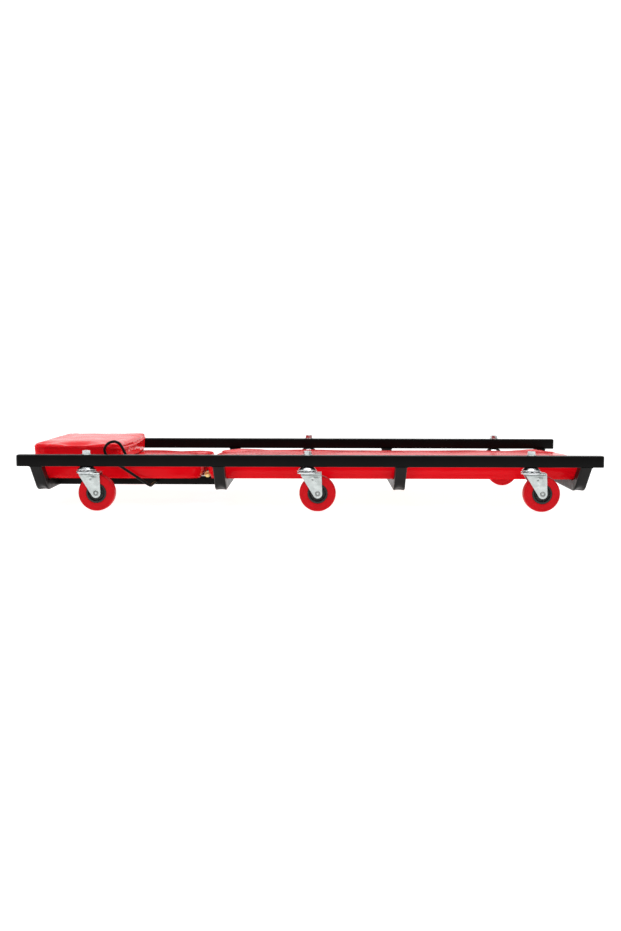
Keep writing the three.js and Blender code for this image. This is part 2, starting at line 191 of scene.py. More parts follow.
def paint_material(name, colour, rough, spec=0.5, peel=0.1):
    m, nt, s = material(name)
    v = coords(nt)
    tint = noise_tex(nt, v, 14, 3)
    lighter = tuple(c * 1.9 for c in colour)
    nt.links.new(ramp(nt, tint, [(0.35, colour), (0.75, lighter)]), s.inputs["Base Color"])
    nt.links.new(
        span_map(nt, noise_tex(nt, v, 60, 5, 0.65), rough - 0.06, rough + 0.09, 0.3, 0.7),
        s.inputs["Roughness"],
    )
    s.inputs["Specular IOR Level"].default_value = spec
    bump(
        nt,
        s,
        [
            (noise_tex(nt, v, 420, 2, 0.5), peel, 0.0001),
            (noise_tex(nt, v, 2600, 2, 0.5), peel * 0.6, 0.00004),
        ],
    )
    return m


def zinc_material(name, dark, light, rough=0.3):
    m, nt, s = material(name)
    v = coords(nt)
    cloud = noise_tex(nt, v, 90, 5, 0.65, 0.6)
    nt.links.new(ramp(nt, cloud, [(0.30, dark), (0.66, light)]), s.inputs["Base Color"])
    s.inputs["Metallic"].default_value = 1.0
    nt.links.new(
        span_map(nt, noise_tex(nt, v, 240, 5, 0.7), rough - 0.08, rough + 0.12, 0.3, 0.7),
        s.inputs["Roughness"],
    )
    streaks = noise_tex(nt, coords(nt, (1, 1, 14)), 900, 2)
    bump(nt, s, [(cloud, 0.05, 0.0002), (streaks, 0.06, 0.00004)])
    return m


def tread_material(name):
    m, nt, s = material(name)
    v = coords(nt)
    cloud = noise_tex(nt, v, 60, 5, 0.6)
    nt.links.new(
        ramp(nt, cloud, [(0.25, (0.54, 0.0022, 0.0065)), (0.7, (0.66, 0.0038, 0.0100))]),
        s.inputs["Base Color"],
    )
    s.inputs["IOR"].default_value = 1.22
    nt.links.new(
        span_map(nt, noise_tex(nt, v, 300, 4, 0.6), 0.36, 0.52, 0.3, 0.7),
        s.inputs["Roughness"],
    )
    bump(
        nt,
        s,
        [
            (noise_tex(nt, v, 160, 3), 0.1, 0.0003),
            (noise_tex(nt, v, 1500, 3), 0.12, 0.00006),
        ],
    )
    return m


def plastic_material(name, colour, rough):
    m, nt, s = material(name)
    v = coords(nt)
    nt.links.new(
        ramp(
            nt,
            noise_tex(nt, v, 40, 3),
            [(0.3, colour), (0.7, tuple(c * 1.6 for c in colour))],
        ),
        s.inputs["Base Color"],
    )
    nt.links.new(
        span_map(nt, noise_tex(nt, v, 350, 4, 0.6), rough - 0.07, rough + 0.08, 0.3, 0.7),
        s.inputs["Roughness"],
    )
    bump(nt, s, [(voronoi(nt, v, 1900), 0.12, 0.00006)])
    return m


def plywood_material(name):
    """Veneer grain along X on the faces, thin plies on the edges."""
    m, nt, s = material(name)
    v = coords(nt, (2.2, 30, 30))
    grain = noise_tex(nt, v, 9, 6, 0.62, 1.4)
    pores = noise_tex(nt, coords(nt, (12, 420, 420)), 3, 4, 0.7)
    veneer = ramp(
        nt,
        grain,
        [(0.2, (0.36, 0.20, 0.09)), (0.48, (0.56, 0.36, 0.18)), (0.8, (0.68, 0.47, 0.26))],
    )
    tc = node(nt, "ShaderNodeTexCoord")
    sep = node(nt, "ShaderNodeSeparateXYZ")
    nt.links.new(tc.outputs["Object"], sep.inputs["Vector"])
    ply = math_node(nt, "PINGPONG", sep.outputs["Z"], 0.00176)
    plies = ramp(
        nt,
        span_map(nt, ply, 0, 1, 0.0, 0.00176),
        [(0.42, (0.30, 0.16, 0.07)), (0.58, (0.66, 0.46, 0.26))],
    )
    sepn = node(nt, "ShaderNodeSeparateXYZ")
    nt.links.new(tc.outputs["Normal"], sepn.inputs["Vector"])
    flat = math_node(nt, "GREATER_THAN", math_node(nt, "ABSOLUTE", sepn.outputs["Z"]), 0.6)
    mix = node(nt, "ShaderNodeMix", data_type="RGBA")
    nt.links.new(flat, mix.inputs["Factor"])
    nt.links.new(plies, mix.inputs[6])
    nt.links.new(veneer, mix.inputs[7])
    nt.links.new(mix.outputs[2], s.inputs["Base Color"])
    s.inputs["Roughness"].default_value = 0.78
    bump(nt, s, [(grain, 0.2, 0.0006), (pores, 0.3, 0.0002)])
    return m


VINYL = vinyl_material("red_vinyl", (0.78, 0.0022, 0.0070), (0.88, 0.0036, 0.0105), 0.18)
# lighter, glossier copy of the red vinyl for the seam welt: a painted highlight for the light band along the pillow's
# top edge
VINYL_WELT_PAINTED_HIGHLIGHT = vinyl_material("red_vinyl_welt_painted_highlight", (0.86, 0.006, 0.014), (0.93, 0.010, 0.020), 0.22)
PAINT = paint_material("frame_black", (0.0026, 0.0024, 0.0023), 0.32, 0.08)
ROD = paint_material("rod_black", (0.0030, 0.0030, 0.0030), 0.40, 0.14, 0.2)
ZINC = zinc_material("zinc", (0.52, 0.565, 0.555), (0.63, 0.675, 0.665))
ZINC_BRIGHT = zinc_material("zinc_bright", (0.50, 0.53, 0.54), (0.76, 0.79, 0.80), 0.22)
# darker zinc for the axle rivets: painted shade for the dark hollow in the rivet's end
ZINC_RIVET_PAINTED_SHADE = zinc_material("zinc_rivet_painted_shade", (0.20, 0.215, 0.21), (0.42, 0.44, 0.43), 0.42)
YELLOW = zinc_material("yellow_zinc", (0.62, 0.40, 0.14), (0.88, 0.68, 0.30), 0.3)
BALL = zinc_material("bearing_steel", (0.50, 0.51, 0.53), (0.72, 0.73, 0.75), 0.16)
TREAD = tread_material("red_tread")
HUB = plastic_material("hub_black", (0.0060, 0.0072, 0.0068), 0.48)
CAP = plastic_material("cap_black", (0.0060, 0.0062, 0.0064), 0.45)
PLY = plywood_material("plywood")


# =============================================================== mesh tools
def link(obj):
    SCENE.collection.objects.link(obj)
    return obj


def make(name, verts, faces, mat, body=None, slot=None, sharp=38.0, bevel=0.0, bevel_angle=35.0, segments=2, smooth=True):
    """A mesh object from millimetre vertices: closed, faces out, soft edges where asked."""
    me = bpy.data.meshes.new(name)
    me.from_pydata([tuple(c * MM for c in v) for v in verts], [], faces)
    bm = bmesh.new()
    bm.from_mesh(me)
    bmesh.ops.remove_doubles(bm, verts=bm.verts, dist=1e-7)
    bmesh.ops.recalc_face_normals(bm, faces=bm.faces)
    if bevel:
        edges = [
            e
            for e in bm.edges
            if len(e.link_faces) == 2
            and e.calc_face_angle(0) > math.radians(bevel_angle)
        ]
        bmesh.ops.bevel(
            bm,
            geom=edges,
            offset=bevel * MM,
            offset_type="OFFSET",
            segments=segments,
            profile=0.5,
            affect="EDGES",
            clamp_overlap=True,
        )
        bmesh.ops.remove_doubles(bm, verts=bm.verts, dist=1e-7)
    finish_bmesh(bm, me, sharp, smooth)
    me.materials.append(mat)
    obj = link(bpy.data.objects.new(name, me))
    if body:
        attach(obj, body)
    return obj


def finish_bmesh(bm, me, sharp=38.0, smooth=True):
    limit = math.radians(sharp)
    for f in bm.faces:
        f.smooth = smooth
    for e in bm.edges:
        e.smooth = not (len(e.link_faces) == 2 and e.calc_face_angle(0) > limit)
    bm.to_mesh(me)
    bm.free()
    me.update()


def merge(parts):
    """Several (verts, faces) as one."""
    verts, faces = [], []
    for v, f in parts:
        base = len(verts)
        verts += [tuple(p) for p in v]
        faces += [tuple(i + base for i in face) for face in f]
    return verts, faces


def moved(part, offset=(0, 0, 0), turn=None):
    v, f = part
    out = []
    for p in v:
        p = Vector(p)
        if turn is not None:
            p = turn @ p
        out.append(tuple(p + Vector(offset)))
    return out, f


def rounded(w, h, r, n=4):
    """Closed outline of a w x h rectangle with rounded corners, centred on 0."""
    pts = []
    for cx, cy, a0 in (
        (w / 2 - r, h / 2 - r, 0),
        (-w / 2 + r, h / 2 - r, 90),
        (-w / 2 + r, -h / 2 + r, 180),
        (w / 2 - r, -h / 2 + r, 270),
    ):
        for i in range(n + 1):
            a = math.radians(a0 + 90 * i / n)
            pts.append((cx + r * math.cos(a), cy + r * math.sin(a)))
    return pts


def rings(loops, closed=False, caps=True):
    """Skin between loops of equal length. closed joins the last loop to the first."""
    n = len(loops[0])
    verts = [tuple(p) for loop in loops for p in loop]
    faces = []
    count = len(loops)
    for i in range(count if closed else count - 1):
        a, b = i * n, ((i + 1) % count) * n
        for j in range(n):
            k = (j + 1) % n
            faces.append((a + j, a + k, b + k, b + j))
    if caps and not closed:
        faces.append(tuple(reversed(range(n))))
        faces.append(tuple(range((count - 1) * n, count * n)))
    return verts, faces


def lathe(profile, segments=48, axis="Z", centre=(0, 0, 0), shape=None):
    """Turn [radius, height] points about an axis. Points on the axis become one vertex.
    shape(angle, index, radius, height) may change a point's height."""
    verts, faces = [], []
    index = []
    for k, (r, h) in enumerate(profile):
        if r < 1e-6:
            index.append([len(verts)] * segments)
            verts.append((0, 0, h))
        else:
            row = []
            for s in range(segments):
                a = 2 * math.pi * s / segments
                hh = shape(a, k, r, h) if shape else h
                row.append(len(verts))
                verts.append((r * math.cos(a), r * math.sin(a), hh))
            index.append(row)
    for k in range(len(profile) - 1):
        a, b = index[k], index[k + 1]
        for s in range(segments):
            t = (s + 1) % segments
            face = []
            for i in (a[s], a[t], b[t], b[s]):
                if i not in face:
                    face.append(i)
            if len(face) >= 3:
                faces.append(tuple(face))
    out = []
    for x, y, z in verts:
        if axis == "Y":
            p = (x, z, y)
        elif axis == "X":
            p = (z, x, y)
        else:
            p = (x, y, z)
        out.append((p[0] + centre[0], p[1] + centre[1], p[2] + centre[2]))
    return out, faces


def prism(outline, low, high, axis="Y"):
    """Outline points extruded between two levels along an axis."""
    def at(u, v, h):
        return {"X": (h, u, v), "Y": (u, h, v), "Z": (u, v, h)}[axis]

    return rings([[at(u, v, low) for u, v in outline], [at(u, v, high) for u, v in outline]])


def frames_along(path, closed=False):
    """Parallel-transport frames along a polyline: (point, side, up, tangent)."""
    pts = [Vector(p) for p in path]
    n = len(pts)
    tangents = []
    for i in range(n):
        if closed:
            t = pts[(i + 1) % n] - pts[i - 1]
        else:
            t = pts[min(i + 1, n - 1)] - pts[max(i - 1, 0)]
        tangents.append(t.normalized())
    ref = Vector((0, 0, 1)) if abs(tangents[0].z) < 0.9 else Vector((1, 0, 0))
    side = tangents[0].cross(ref).normalized()
    out = []
    for i in range(n):
        if i:
            axis = tangents[i - 1].cross(tangents[i])
            if axis.length > 1e-9:
                ang = tangents[i - 1].angle(tangents[i])
                side = Matrix.Rotation(ang, 3, axis.normalized()) @ side
        side = (side - tangents[i] * side.dot(tangents[i])).normalized()
        out.append((pts[i], side, side.cross(tangents[i]), tangents[i]))
    if closed:
        # share out the twist so that the last ring meets the first
        last = out[-1]
        axis = last[3].cross(tangents[0])
        s = last[1]
        if axis.length > 1e-9:
            s = Matrix.Rotation(last[3].angle(tangents[0]), 3, axis.normalized()) @ s
        ang = math.atan2(s.cross(out[0][1]).dot(tangents[0]), s.dot(out[0][1]))
        fixed = []
        for i, (p, sd, up, t) in enumerate(out):
            sd = Matrix.Rotation(ang * i / n, 3, t) @ sd
            fixed.append((p, sd, sd.cross(t), t))
        out = fixed
    return out


def tube(path, radius, sides=12, closed=False, round_ends=True):
    """A round rod along a path. radius is a number or a function of the ring index."""
    fr = frames_along(path, closed)
    loops = []

    def ring(p, s, u, r):
        return [
            tuple(p + s * (r * math.cos(2 * math.pi * k / sides)) + u * (r * math.sin(2 * math.pi * k / sides)))
            for k in range(sides)
        ]

    for i, (p, s, u, t) in enumerate(fr):
        r = radius(i) if callable(radius) else radius
        loops.append(ring(p, s, u, r))
    if not closed and round_ends:
        p, s, u, t = fr[0]
        r = radius(0) if callable(radius) else radius
        start = [ring(p - t * (r * 0.45 * math.sin(a)), s, u, r * math.cos(a) * 0.999 + 0.001) for a in (1.25, 0.85, 0.45)]
        p, s, u, t = fr[-1]
        r = radius(len(fr) - 1) if callable(radius) else radius
        end = [ring(p + t * (r * 0.45 * math.sin(a)), s, u, r * math.cos(a) * 0.999 + 0.001) for a in (0.45, 0.85, 1.25)]
        loops = start + loops + end
    return rings(loops, closed=closed)


def spline(points, per=8, closed=False):
    """Centripetal Catmull-Rom curve through the points."""
    pts = [Vector(p) for p in points]
    n = len(pts)
    out = []
    count = n if closed else n - 1
    for i in range(count):
        p1, p2 = pts[i], pts[(i + 1) % n]
        p0 = pts[i - 1] if (closed or i > 0) else p1 + (p1 - p2)
        p3 = pts[(i + 2) % n] if (closed or i + 2 < n) else p2 + (p2 - p1)
        t0 = 0.0
        t1 = t0 + max((p1 - p0).length, 1e-6) ** 0.5
        t2 = t1 + max((p2 - p1).length, 1e-6) ** 0.5
        t3 = t2 + max((p3 - p2).length, 1e-6) ** 0.5
        for k in range(per):
            t = t1 + (t2 - t1) * k / per
            a1 = p0 * ((t1 - t) / (t1 - t0)) + p1 * ((t - t0) / (t1 - t0))
            a2 = p1 * ((t2 - t) / (t2 - t1)) + p2 * ((t - t1) / (t2 - t1))
            a3 = p2 * ((t3 - t) / (t3 - t2)) + p3 * ((t - t2) / (t3 - t2))
            b1 = a1 * ((t2 - t) / (t2 - t0)) + a2 * ((t - t0) / (t2 - t0))
            b2 = a2 * ((t3 - t) / (t3 - t1)) + a3 * ((t - t1) / (t3 - t1))
            out.append(b1 * ((t2 - t) / (t2 - t1)) + b2 * ((t - t1) / (t2 - t1)))
    if not closed:
        out.append(pts[-1])
    return out


def hexagon(flats, height, chamfer=0.8, bore=0.0, both=True, per=8):
    """Hex nut or bolt head along +Z from 0, with conical chamfers."""
    half = flats / 2
    r_in = half * 0.97
    rim = []
    for s in range(6):
        for k in range(per):
            a = -math.pi / 6 + (math.pi / 3) * k / per
            rho = half / math.cos(a)
            ang = a + s * math.pi / 3
            rim.append((rho, ang))
    slope = 0.577

    def loop(r, z):
        return [(r * math.cos(a), r * math.sin(a), z) for _, a in rim]

    def edge(z, sign):
        return [
            (rho * math.cos(a), rho * math.sin(a), z - sign * max(0.0, rho - r_in) * slope)
            for rho, a in rim
        ]

    loops = []
    if bore:
        loops.append(loop(bore, 0.6 if both else 0.0))
        loops.append(loop(bore + 0.6, 0.0))
    if both:
        loops += [loop(r_in, 0.0), edge(0.0, -1)]
    else:
        loops += [[(rho * math.cos(a), rho * math.sin(a), 0.0) for rho, a in rim]]
    loops += [edge(height, 1), loop(r_in, height)]
    if bore:
        loops += [loop(bore + 0.6, height), loop(bore, height - 0.6)]
        return rings(loops, closed=True)
    return rings(loops)


def weld_path(points, radius=1.5, pitch=2.2, seed=1, closed=True, sides=8):
    """A weld bead: a rod whose thickness ripples like overlapping puddles."""
    pts = [Vector(p) for p in points]
    if closed:
        pts.append(pts[0])
    dense = []
    for a, b in zip(pts[:-1], pts[1:]):
        n = max(1, int(round((b - a).length / (pitch / 4))))
        dense += [a + (b - a) * (k / n) for k in range(n)]
    if not closed:
        dense.append(pts[-1])
    rng = random.Random(seed)
    wobble = [rng.uniform(-0.12, 0.12) for _ in dense]

    def r(i):
        saw = (i % 4) / 4.0
        return radius * (0.86 + 0.22 * saw + wobble[i])

    return tube(dense, r, sides=sides, closed=closed)


# ================================================================= cushions
def plan_ring(x, y, r, z, n=7, inset=0.0):
    """Rounded rectangle in plan at height z."""
    w, h = x[1] - x[0] - 2 * inset, y[1] - y[0] - 2 * inset
    cx, cy = (x[0] + x[1]) / 2, (y[0] + y[1]) / 2
    return [(cx + u, cy + v, z) for u, v in rounded(w, h, max(r - inset, 1.0), n)]


def sim_inflate(obj, pin, cap, pressure=4.0, frames=20):
    """Cloth with pressure on a closed pad; pin(x, y, z) in mm is 1 where it is held."""
    me = obj.data
    base = np.array([v.co for v in me.vertices], float)
    group = obj.vertex_groups.new(name="pin")
    for i, c in enumerate(base):
        w = pin(*(c / MM))
        if w > 0:
            group.add([i], w, "REPLACE")
    mod = obj.modifiers.new("Cloth", "CLOTH")
    s = mod.settings
    s.quality = 5
    s.mass = 0.25
    s.tension_stiffness = s.compression_stiffness = 12
    s.shear_stiffness = 6
    s.bending_stiffness = 0.6
    s.use_pressure = True
    s.uniform_pressure_force = pressure
    s.vertex_group_mass = "pin"
    s.effector_weights.gravity = 0
    mod.collision_settings.use_collision = False
    mod.point_cache.frame_start, mod.point_cache.frame_end = 1, frames
    for f in range(1, frames + 1):
        SCENE.frame_set(f)
    dg = bpy.context.evaluated_depsgraph_get()
    sim = obj.evaluated_get(dg).to_mesh()
    moved_co = np.array([v.co for v in sim.vertices], float)
    obj.evaluated_get(dg).to_mesh_clear()
    obj.modifiers.remove(mod)
    obj.vertex_groups.remove(group)
    SCENE.frame_set(1)
    d = moved_co - base
    length = np.linalg.norm(d, axis=1, keepdims=True) + 1e-12
    limit = cap * MM
    d = d / length * (limit * np.tanh(length / limit))
    me.vertices.foreach_set("co", (base + d).ravel())
    me.update()


def apply_modifiers(obj):
    dg = bpy.context.evaluated_depsgraph_get()
    new = bpy.data.meshes.new_from_object(obj.evaluated_get(dg))
    old = obj.data
    obj.modifiers.clear()
    obj.data = new
    new.name = obj.name
    bpy.data.meshes.remove(old)


def blob(name, loops, voxel):
    """Closed pad mesh, evenly remeshed."""
    v, f = rings(loops)
    obj = make(name, v, f, VINYL, sharp=180)
    mod = obj.modifiers.new("Remesh", "REMESH")
    mod.mode = "VOXEL"
    mod.voxel_size = voxel * MM
    mod.use_smooth_shade = True
    apply_modifiers(obj)
    return obj


def soften(obj, rounds=2, factor=0.5, keep=None):
    bm = bmesh.new()
    bm.from_mesh(obj.data)
    verts = [v for v in bm.verts if keep is None or not keep(*(v.co / MM))]
    for _ in range(rounds):
        bmesh.ops.smooth_vert(bm, verts=verts, factor=factor, use_axis_x=True, use_axis_y=True, use_axis_z=True)
    bm.to_mesh(obj.data)
    bm.free()
    obj.data.update()


def subdivide(obj, levels=1):
    mod = obj.modifiers.new("Subdivision", "SUBSURF")
    mod.levels = mod.render_levels = levels
    apply_modifiers(obj)


def shape_points(obj, func):
    """Move every vertex by func(Vector in mm, normal) -> Vector in mm."""
    me = obj.data
    normals = [v.normal.copy() for v in me.vertices]
    for v, n in zip(me.vertices, normals):
        v.co = func(v.co / MM, n) * MM
    me.update()


def carve(obj, outline_x, outline_y, r, low, high):
    """Take a rounded block out of a closed pad."""
    a = plan_ring(outline_x, outline_y, r, low)
    b = plan_ring(outline_x, outline_y, r, high)
    v, f = rings([a, b])
    cutter = make(obj.name + "_cutter", v, f, VINYL, sharp=30)
    mod = obj.modifiers.new("Recess", "BOOLEAN")
    mod.operation = "DIFFERENCE"
    mod.solver = "FAST"
    mod.object = cutter
    apply_modifiers(obj)
    data = cutter.data
    bpy.data.objects.remove(cutter)
    bpy.data.meshes.remove(data)


def shade(obj, sharp=50.0):
    bm = bmesh.new()
    bm.from_mesh(obj.data)
    finish_bmesh(bm, obj.data, sharp)


def smoothstep(a, b, x):
    t = min(max((x - a) / (b - a), 0.0), 1.0)
    return t * t * (3 - 2 * t)


def plan_depth(px, py, x, r=15.0):
    """Distance inside the pad's plan outline, and the outward direction."""
    cx, hx = (x[0] + x[1]) / 2, (x[1] - x[0]) / 2
    qx, qy = abs(px - cx) - (hx - r), abs(py) - (PAD_HALF - r)
    sx, sy = math.copysign(1, px - cx), math.copysign(1, py)
    if qx > 0 and qy > 0:
        m = math.hypot(qx, qy)
        return r - m, Vector((sx * qx / m, sy * qy / m, 0))
    if qx > qy:
        return r - qx, Vector((sx, 0, 0))
    return r - qy, Vector((0, sy, 0))


def tight_base(p, x, z0):
    """Fold the cover tightly round the board's lower edge."""
    if p.z > z0 + 9:
        return p
    d, out = plan_depth(p.x, p.y, x)
    if d > 6.5:
        return p
    blend = smoothstep(z0 + 9, z0 + 4.5, p.z)
    if d > 1.0:
        t = min((d - 1.0) / 5.5, 1.0)
        new = 1.0 + 5.5 * t ** 2.6
    else:
        new = d
    z = p.z
    if z < z0 + 4:
        z = z0 + 4 * (max(z - z0, 0) / 4) ** 1.9
    q = p + out * (d - new) * blend
    q.z = z
    return q


SIDE_FIT = ((0.0, 1.9), (0.05, 1.2), (0.12, 0.8), (0.3, 0.6), (0.5, 0.3), (0.66, 0.5), (0.78, 1.6), (0.86, 3.4), (0.93, 7.0), (1.0, 12.0))


def piecewise(knots, t):
    if t <= knots[0][0]:
        return knots[0][1]
    for (a, ga), (b, gb) in zip(knots[:-1], knots[1:]):
        if t <= b:
            return ga + (gb - ga) * (t - a) / (b - a)
    return knots[-1][1]


def medians(found, need=8):
    out = []
    for k, got in enumerate(found):
        if len(got) > need:
            got.sort()
            out.append((k + 0.5, got[len(got) // 2]))
    return out


def fit_sides(obj, x, z0, h, target, r=15.0):
    """Bring the sides back out to the outline, whatever the cloth has pulled in."""
    bins = 14
    found = [[] for _ in range(bins)]
    for v in obj.data.vertices:
        c = v.co / MM
        d, out = plan_depth(c.x, c.y, x, r)
        if v.normal.dot(out) > 0.45 and d < 24:
            found[min(max(int((c.z - z0) / h * bins), 0), bins - 1)].append(d)
    known = medians(found)

    def move(p, n):
        t = min((p.z - z0) / h, 0.9)
        d, out = plan_depth(p.x, p.y, x, r)
        side = piecewise(known, t * bins)
        # the corners were drawn in less than the long sides
        along = max(min(p.x - x[0], x[1] - p.x), PAD_HALF - abs(p.y))
        ease = 1.0 - 0.5 * smoothstep(60, 14, along)
        return p + out * (side - piecewise(target, t)) * smoothstep(38, 2, d - side) * ease

    shape_points(obj, move)


def fit_top(obj, x, z0, h, curve, r=15.0):
    """Bring the top to a crown given as height against distance in from the edge."""
    step = 3.0
    found = [[] for _ in range(25)]
    for v in obj.data.vertices:
        c = v.co / MM
        d, out = plan_depth(c.x, c.y, x, r)
        if v.normal.z > 0.35 and c.z > z0 + h * 0.5 and 0 < d < 75:
            found[int(d / step)].append(c.z)
    known = medians(found)

    def move(p, n):
        w = smoothstep(0.5, 0.85, (p.z - z0) / h)
        if w <= 0:
            return p
        d = max(plan_depth(p.x, p.y, x, r)[0], 1.5)
        lift = piecewise(curve, d) - piecewise(known, d / step)
        return p + Vector((0, 0, lift * w))

    shape_points(obj, move)


def pad(name, x, z0, z1, voxel, cap, ends, crown):
    """Upholstered board: foam crowned on top, cover wrapped round and under the board."""
    y = (-PAD_HALF, PAD_HALF)
    h = z1 - z0
    loops = []
    for inset, t in (
        (3.4, 0.0),
        (1.6, 0.02),
        (0.9, 0.10),
        (0.7, 0.30),
        (0.2, 0.55),
        (0.2, 0.70),
        (1.0, 0.80),
        (3.4, 0.88),
        (8.5, 0.93),
        (20, 0.94),
    ):
        loops.append(plan_ring(x, y, 15, z0 + h * t, inset=inset))
    obj = blob(name, loops, voxel)
    low = z0 + 3.0

    def pin(px, py, pz):
        return 1.0 if pz < low else 0.0

    sim_inflate(obj, pin, cap)
    soften(obj, 2, 0.5, keep=lambda a, b, c: c < low)
    subdivide(obj)

    x0, x1 = x

    def dress(p, n):
        px, py, pz = p
        t = (pz - z0) / h
        # distance to the nearest side, and place along it
        dx, dy = min(px - x0, x1 - px), PAD_HALF - abs(py)
        edge = min(dx, dy)
        along = px if dy < dx else py + 4000
        out = Vector((0, 0, 0))
        side = smoothstep(9, 0, edge)
        # the cover is pulled in between its staples, so the lower side is fluted
        flute = noise.noise(Vector((along * 0.034, 3.1, x0 * 0.01)))
        fine = noise.noise(Vector((along * 0.11, 9.7, x0 * 0.01)))
        pull = side * smoothstep(0.62, 0.12, t) * smoothstep(0.0, 0.10, t)
        out -= n * (0.95 * flute + 0.45 * fine) * pull
        # broad hand-made unevenness of the foam
        lump = noise.noise(Vector((px * 0.013, py * 0.013, 1.7)))
        if t > 0.75:
            out.z += 0.8 * lump
            # shallow pucker that runs in from each corner
            for cx in (x0, x1):
                for sy in (-1, 1):
                    u, w = abs(px - cx), abs(py - sy * PAD_HALF)
                    rr = math.hypot(u, w)
                    if rr < 70:
                        out.z -= 1.5 * math.exp(-((u - w) / 7.0) ** 2) * smoothstep(70, 10, rr)
        # ends lean out over the gap: widest near the top
        for end, sign in ((x0, -1), (x1, 1)):
            amount = ends[0] if sign < 0 else ends[1]
            near = smoothstep(26, 0, abs(px - end))
            out.x += sign * near * amount * (smoothstep(0.0, 0.75, t) - 0.12)
        return p + out

    fit_sides(obj, x, z0, h, SIDE_FIT)
    fit_top(obj, x, z0, h, crown)
    shape_points(obj, lambda p, n: tight_base(p, x, z0))
    shape_points(obj, dress)
    # flat underneath, where it lies on the tubes
    shape_points(obj, lambda p, n: Vector((p.x, p.y, max(p.z, z0 + 0.05))))
    c = 6.0
    carve(obj, (x[0] + c, x[1] - c), (y[0] + c, y[1] - c), 11, z0 - 20, z0 + 0.3 + PLY_T + 0.2)
    shade(obj, 60)
    obj.data.materials.clear()
    obj.data.materials.append(VINYL)
    return obj


def surface_of(obj):
    bm = bmesh.new()
    bm.from_mesh(obj.data)
    tree = BVHTree.FromBMesh(bm)
    bm.free()
    return tree


def on_surface(tree, p):
    hit, normal, _, _ = tree.find_nearest(Vector(p) * MM)
    return hit / MM, normal


def cast(tree, origin, direction):
    hit, normal, _, _ = tree.ray_cast(Vector(origin) * MM, Vector(direction))
    return (None, None) if hit is None else (hit / MM, normal)


def resample(points, step, closed=True):
    pts = [Vector(p) for p in points]
    if closed:
        pts = pts + [pts[0]]
    lengths = [0.0]
    for a, b in zip(pts[:-1], pts[1:]):
        lengths.append(lengths[-1] + (b - a).length)
    total = lengths[-1]
    n = max(3, int(total / step))
    out = []
    k = 0
    for i in range(n if closed else n + 1):
        s = total * i / n
        while k < len(lengths) - 2 and lengths[k + 1] < s:
            k += 1
        span_len = max(lengths[k + 1] - lengths[k], 1e-9)
        out.append(pts[k].lerp(pts[k + 1], (s - lengths[k]) / span_len))
    return out


def smooth_line(points, rounds=3, closed=True):
    pts = [Vector(p) for p in points]
    n = len(pts)
    for _ in range(rounds):
        new = []
        for i in range(n):
            if not closed and i in (0, n - 1):
                new.append(pts[i])
                continue
            new.append((pts[i - 1] + pts[i] * 2 + pts[(i + 1) % n]) / 4)
        pts = new
    return pts


def hem(name, x, z, body, width=21.0, seed=1, slot="red_vinyl"):
    """The cover turned under the board: a thin band with an uneven inner edge and folded corners."""
    y = (-PAD_HALF, PAD_HALF)
    outer = resample(plan_ring(x, y, 13, z, n=8, inset=1.9), 6.0)
    n = len(outer)
    cx, cy = (x[0] + x[1]) / 2, 0.0
    hx, hy = (x[1] - x[0]) / 2, PAD_HALF
    inner = []
    for i, p in enumerate(outer):
        dx, dy = hx - abs(p.x - cx), hy - abs(p.y - cy)
        w = width + 2.6 * noise.noise(Vector((i * 0.21, seed * 3.3, 0))) + 1.2 * noise.noise(Vector((i * 0.9, seed, 2)))
        # straight in from each side, mitred at the corners
        q = Vector(p)
        if dx < 14 and dy < 14:
            q.x -= math.copysign(w * 0.98, p.x - cx) * (1 if dx < 14 else 0)
            q.y -= math.copysign(w * 0.98, p.y - cy) * (1 if dy < 14 else 0)
        elif dx < dy:
            q.x -= math.copysign(w, p.x - cx)
        else:
            q.y -= math.copysign(w, p.y - cy)
        inner.append(q)
    inner = smooth_line(inner, 1)
    t = 0.42
    loops = []
    across = 5
    top, bottom = [], []
    for k in range(across + 1):
        f = k / across
        row_t, row_b = [], []
        for i, (a, b) in enumerate(zip(outer, inner)):
            p = a.lerp(b, f)
            rip = 0.07 * noise.noise(Vector((i * 0.33, k * 0.9, seed * 1.7)))
            row_b.append((p.x, p.y, z - 0.08 + rip * 0.6))
            row_t.append((p.x, p.y, z + t - 0.08 + rip * 0.6))
        top.append(row_t)
        bottom.append(row_b)
    loops = bottom + list(reversed(top))
    v, f = rings(loops, closed=True)
    return make(name, v, f, VINYL, body, slot, sharp=60), inner, outer


def staples(name, outer, inner, z, body, skip, step=34.0):
    """Wire staples across the hem."""
    parts = []
    walk = 0.0
    last = outer[0]
    for i in range(1, len(outer)):
        walk += (outer[i] - last).length
        last = outer[i]
        if walk < step:
            continue
        walk = 0.0
        p = outer[i].lerp(inner[i], 0.55)
        if skip(p.x, p.y):
            continue
        along = (outer[(i + 1) % len(outer)] - outer[i - 1]).normalized()
        rng = random.Random(i * 7 + 3)
        along = Matrix.Rotation(rng.uniform(-0.22, 0.22), 3, "Z") @ along
        a, b = p - along * 5.0, p + along * 5.0
        za = z - 0.35
        line = [
            (a.x, a.y, z + 1.2),
            (a.x, a.y, za + 0.2),
            tuple(a + along * 0.4 + Vector((0, 0, za - z))),
            tuple(p + Vector((0, 0, za - z))),
            tuple(b - along * 0.4 + Vector((0, 0, za - z))),
            (b.x, b.y, za + 0.2),
            (b.x, b.y, z + 1.2),
        ]
        parts.append(tube(line, 0.34, sides=6, round_ends=False))
    v, f = merge(parts)
    return make(name, v, f, ZINC_BRIGHT, body, "zinc", sharp=70)


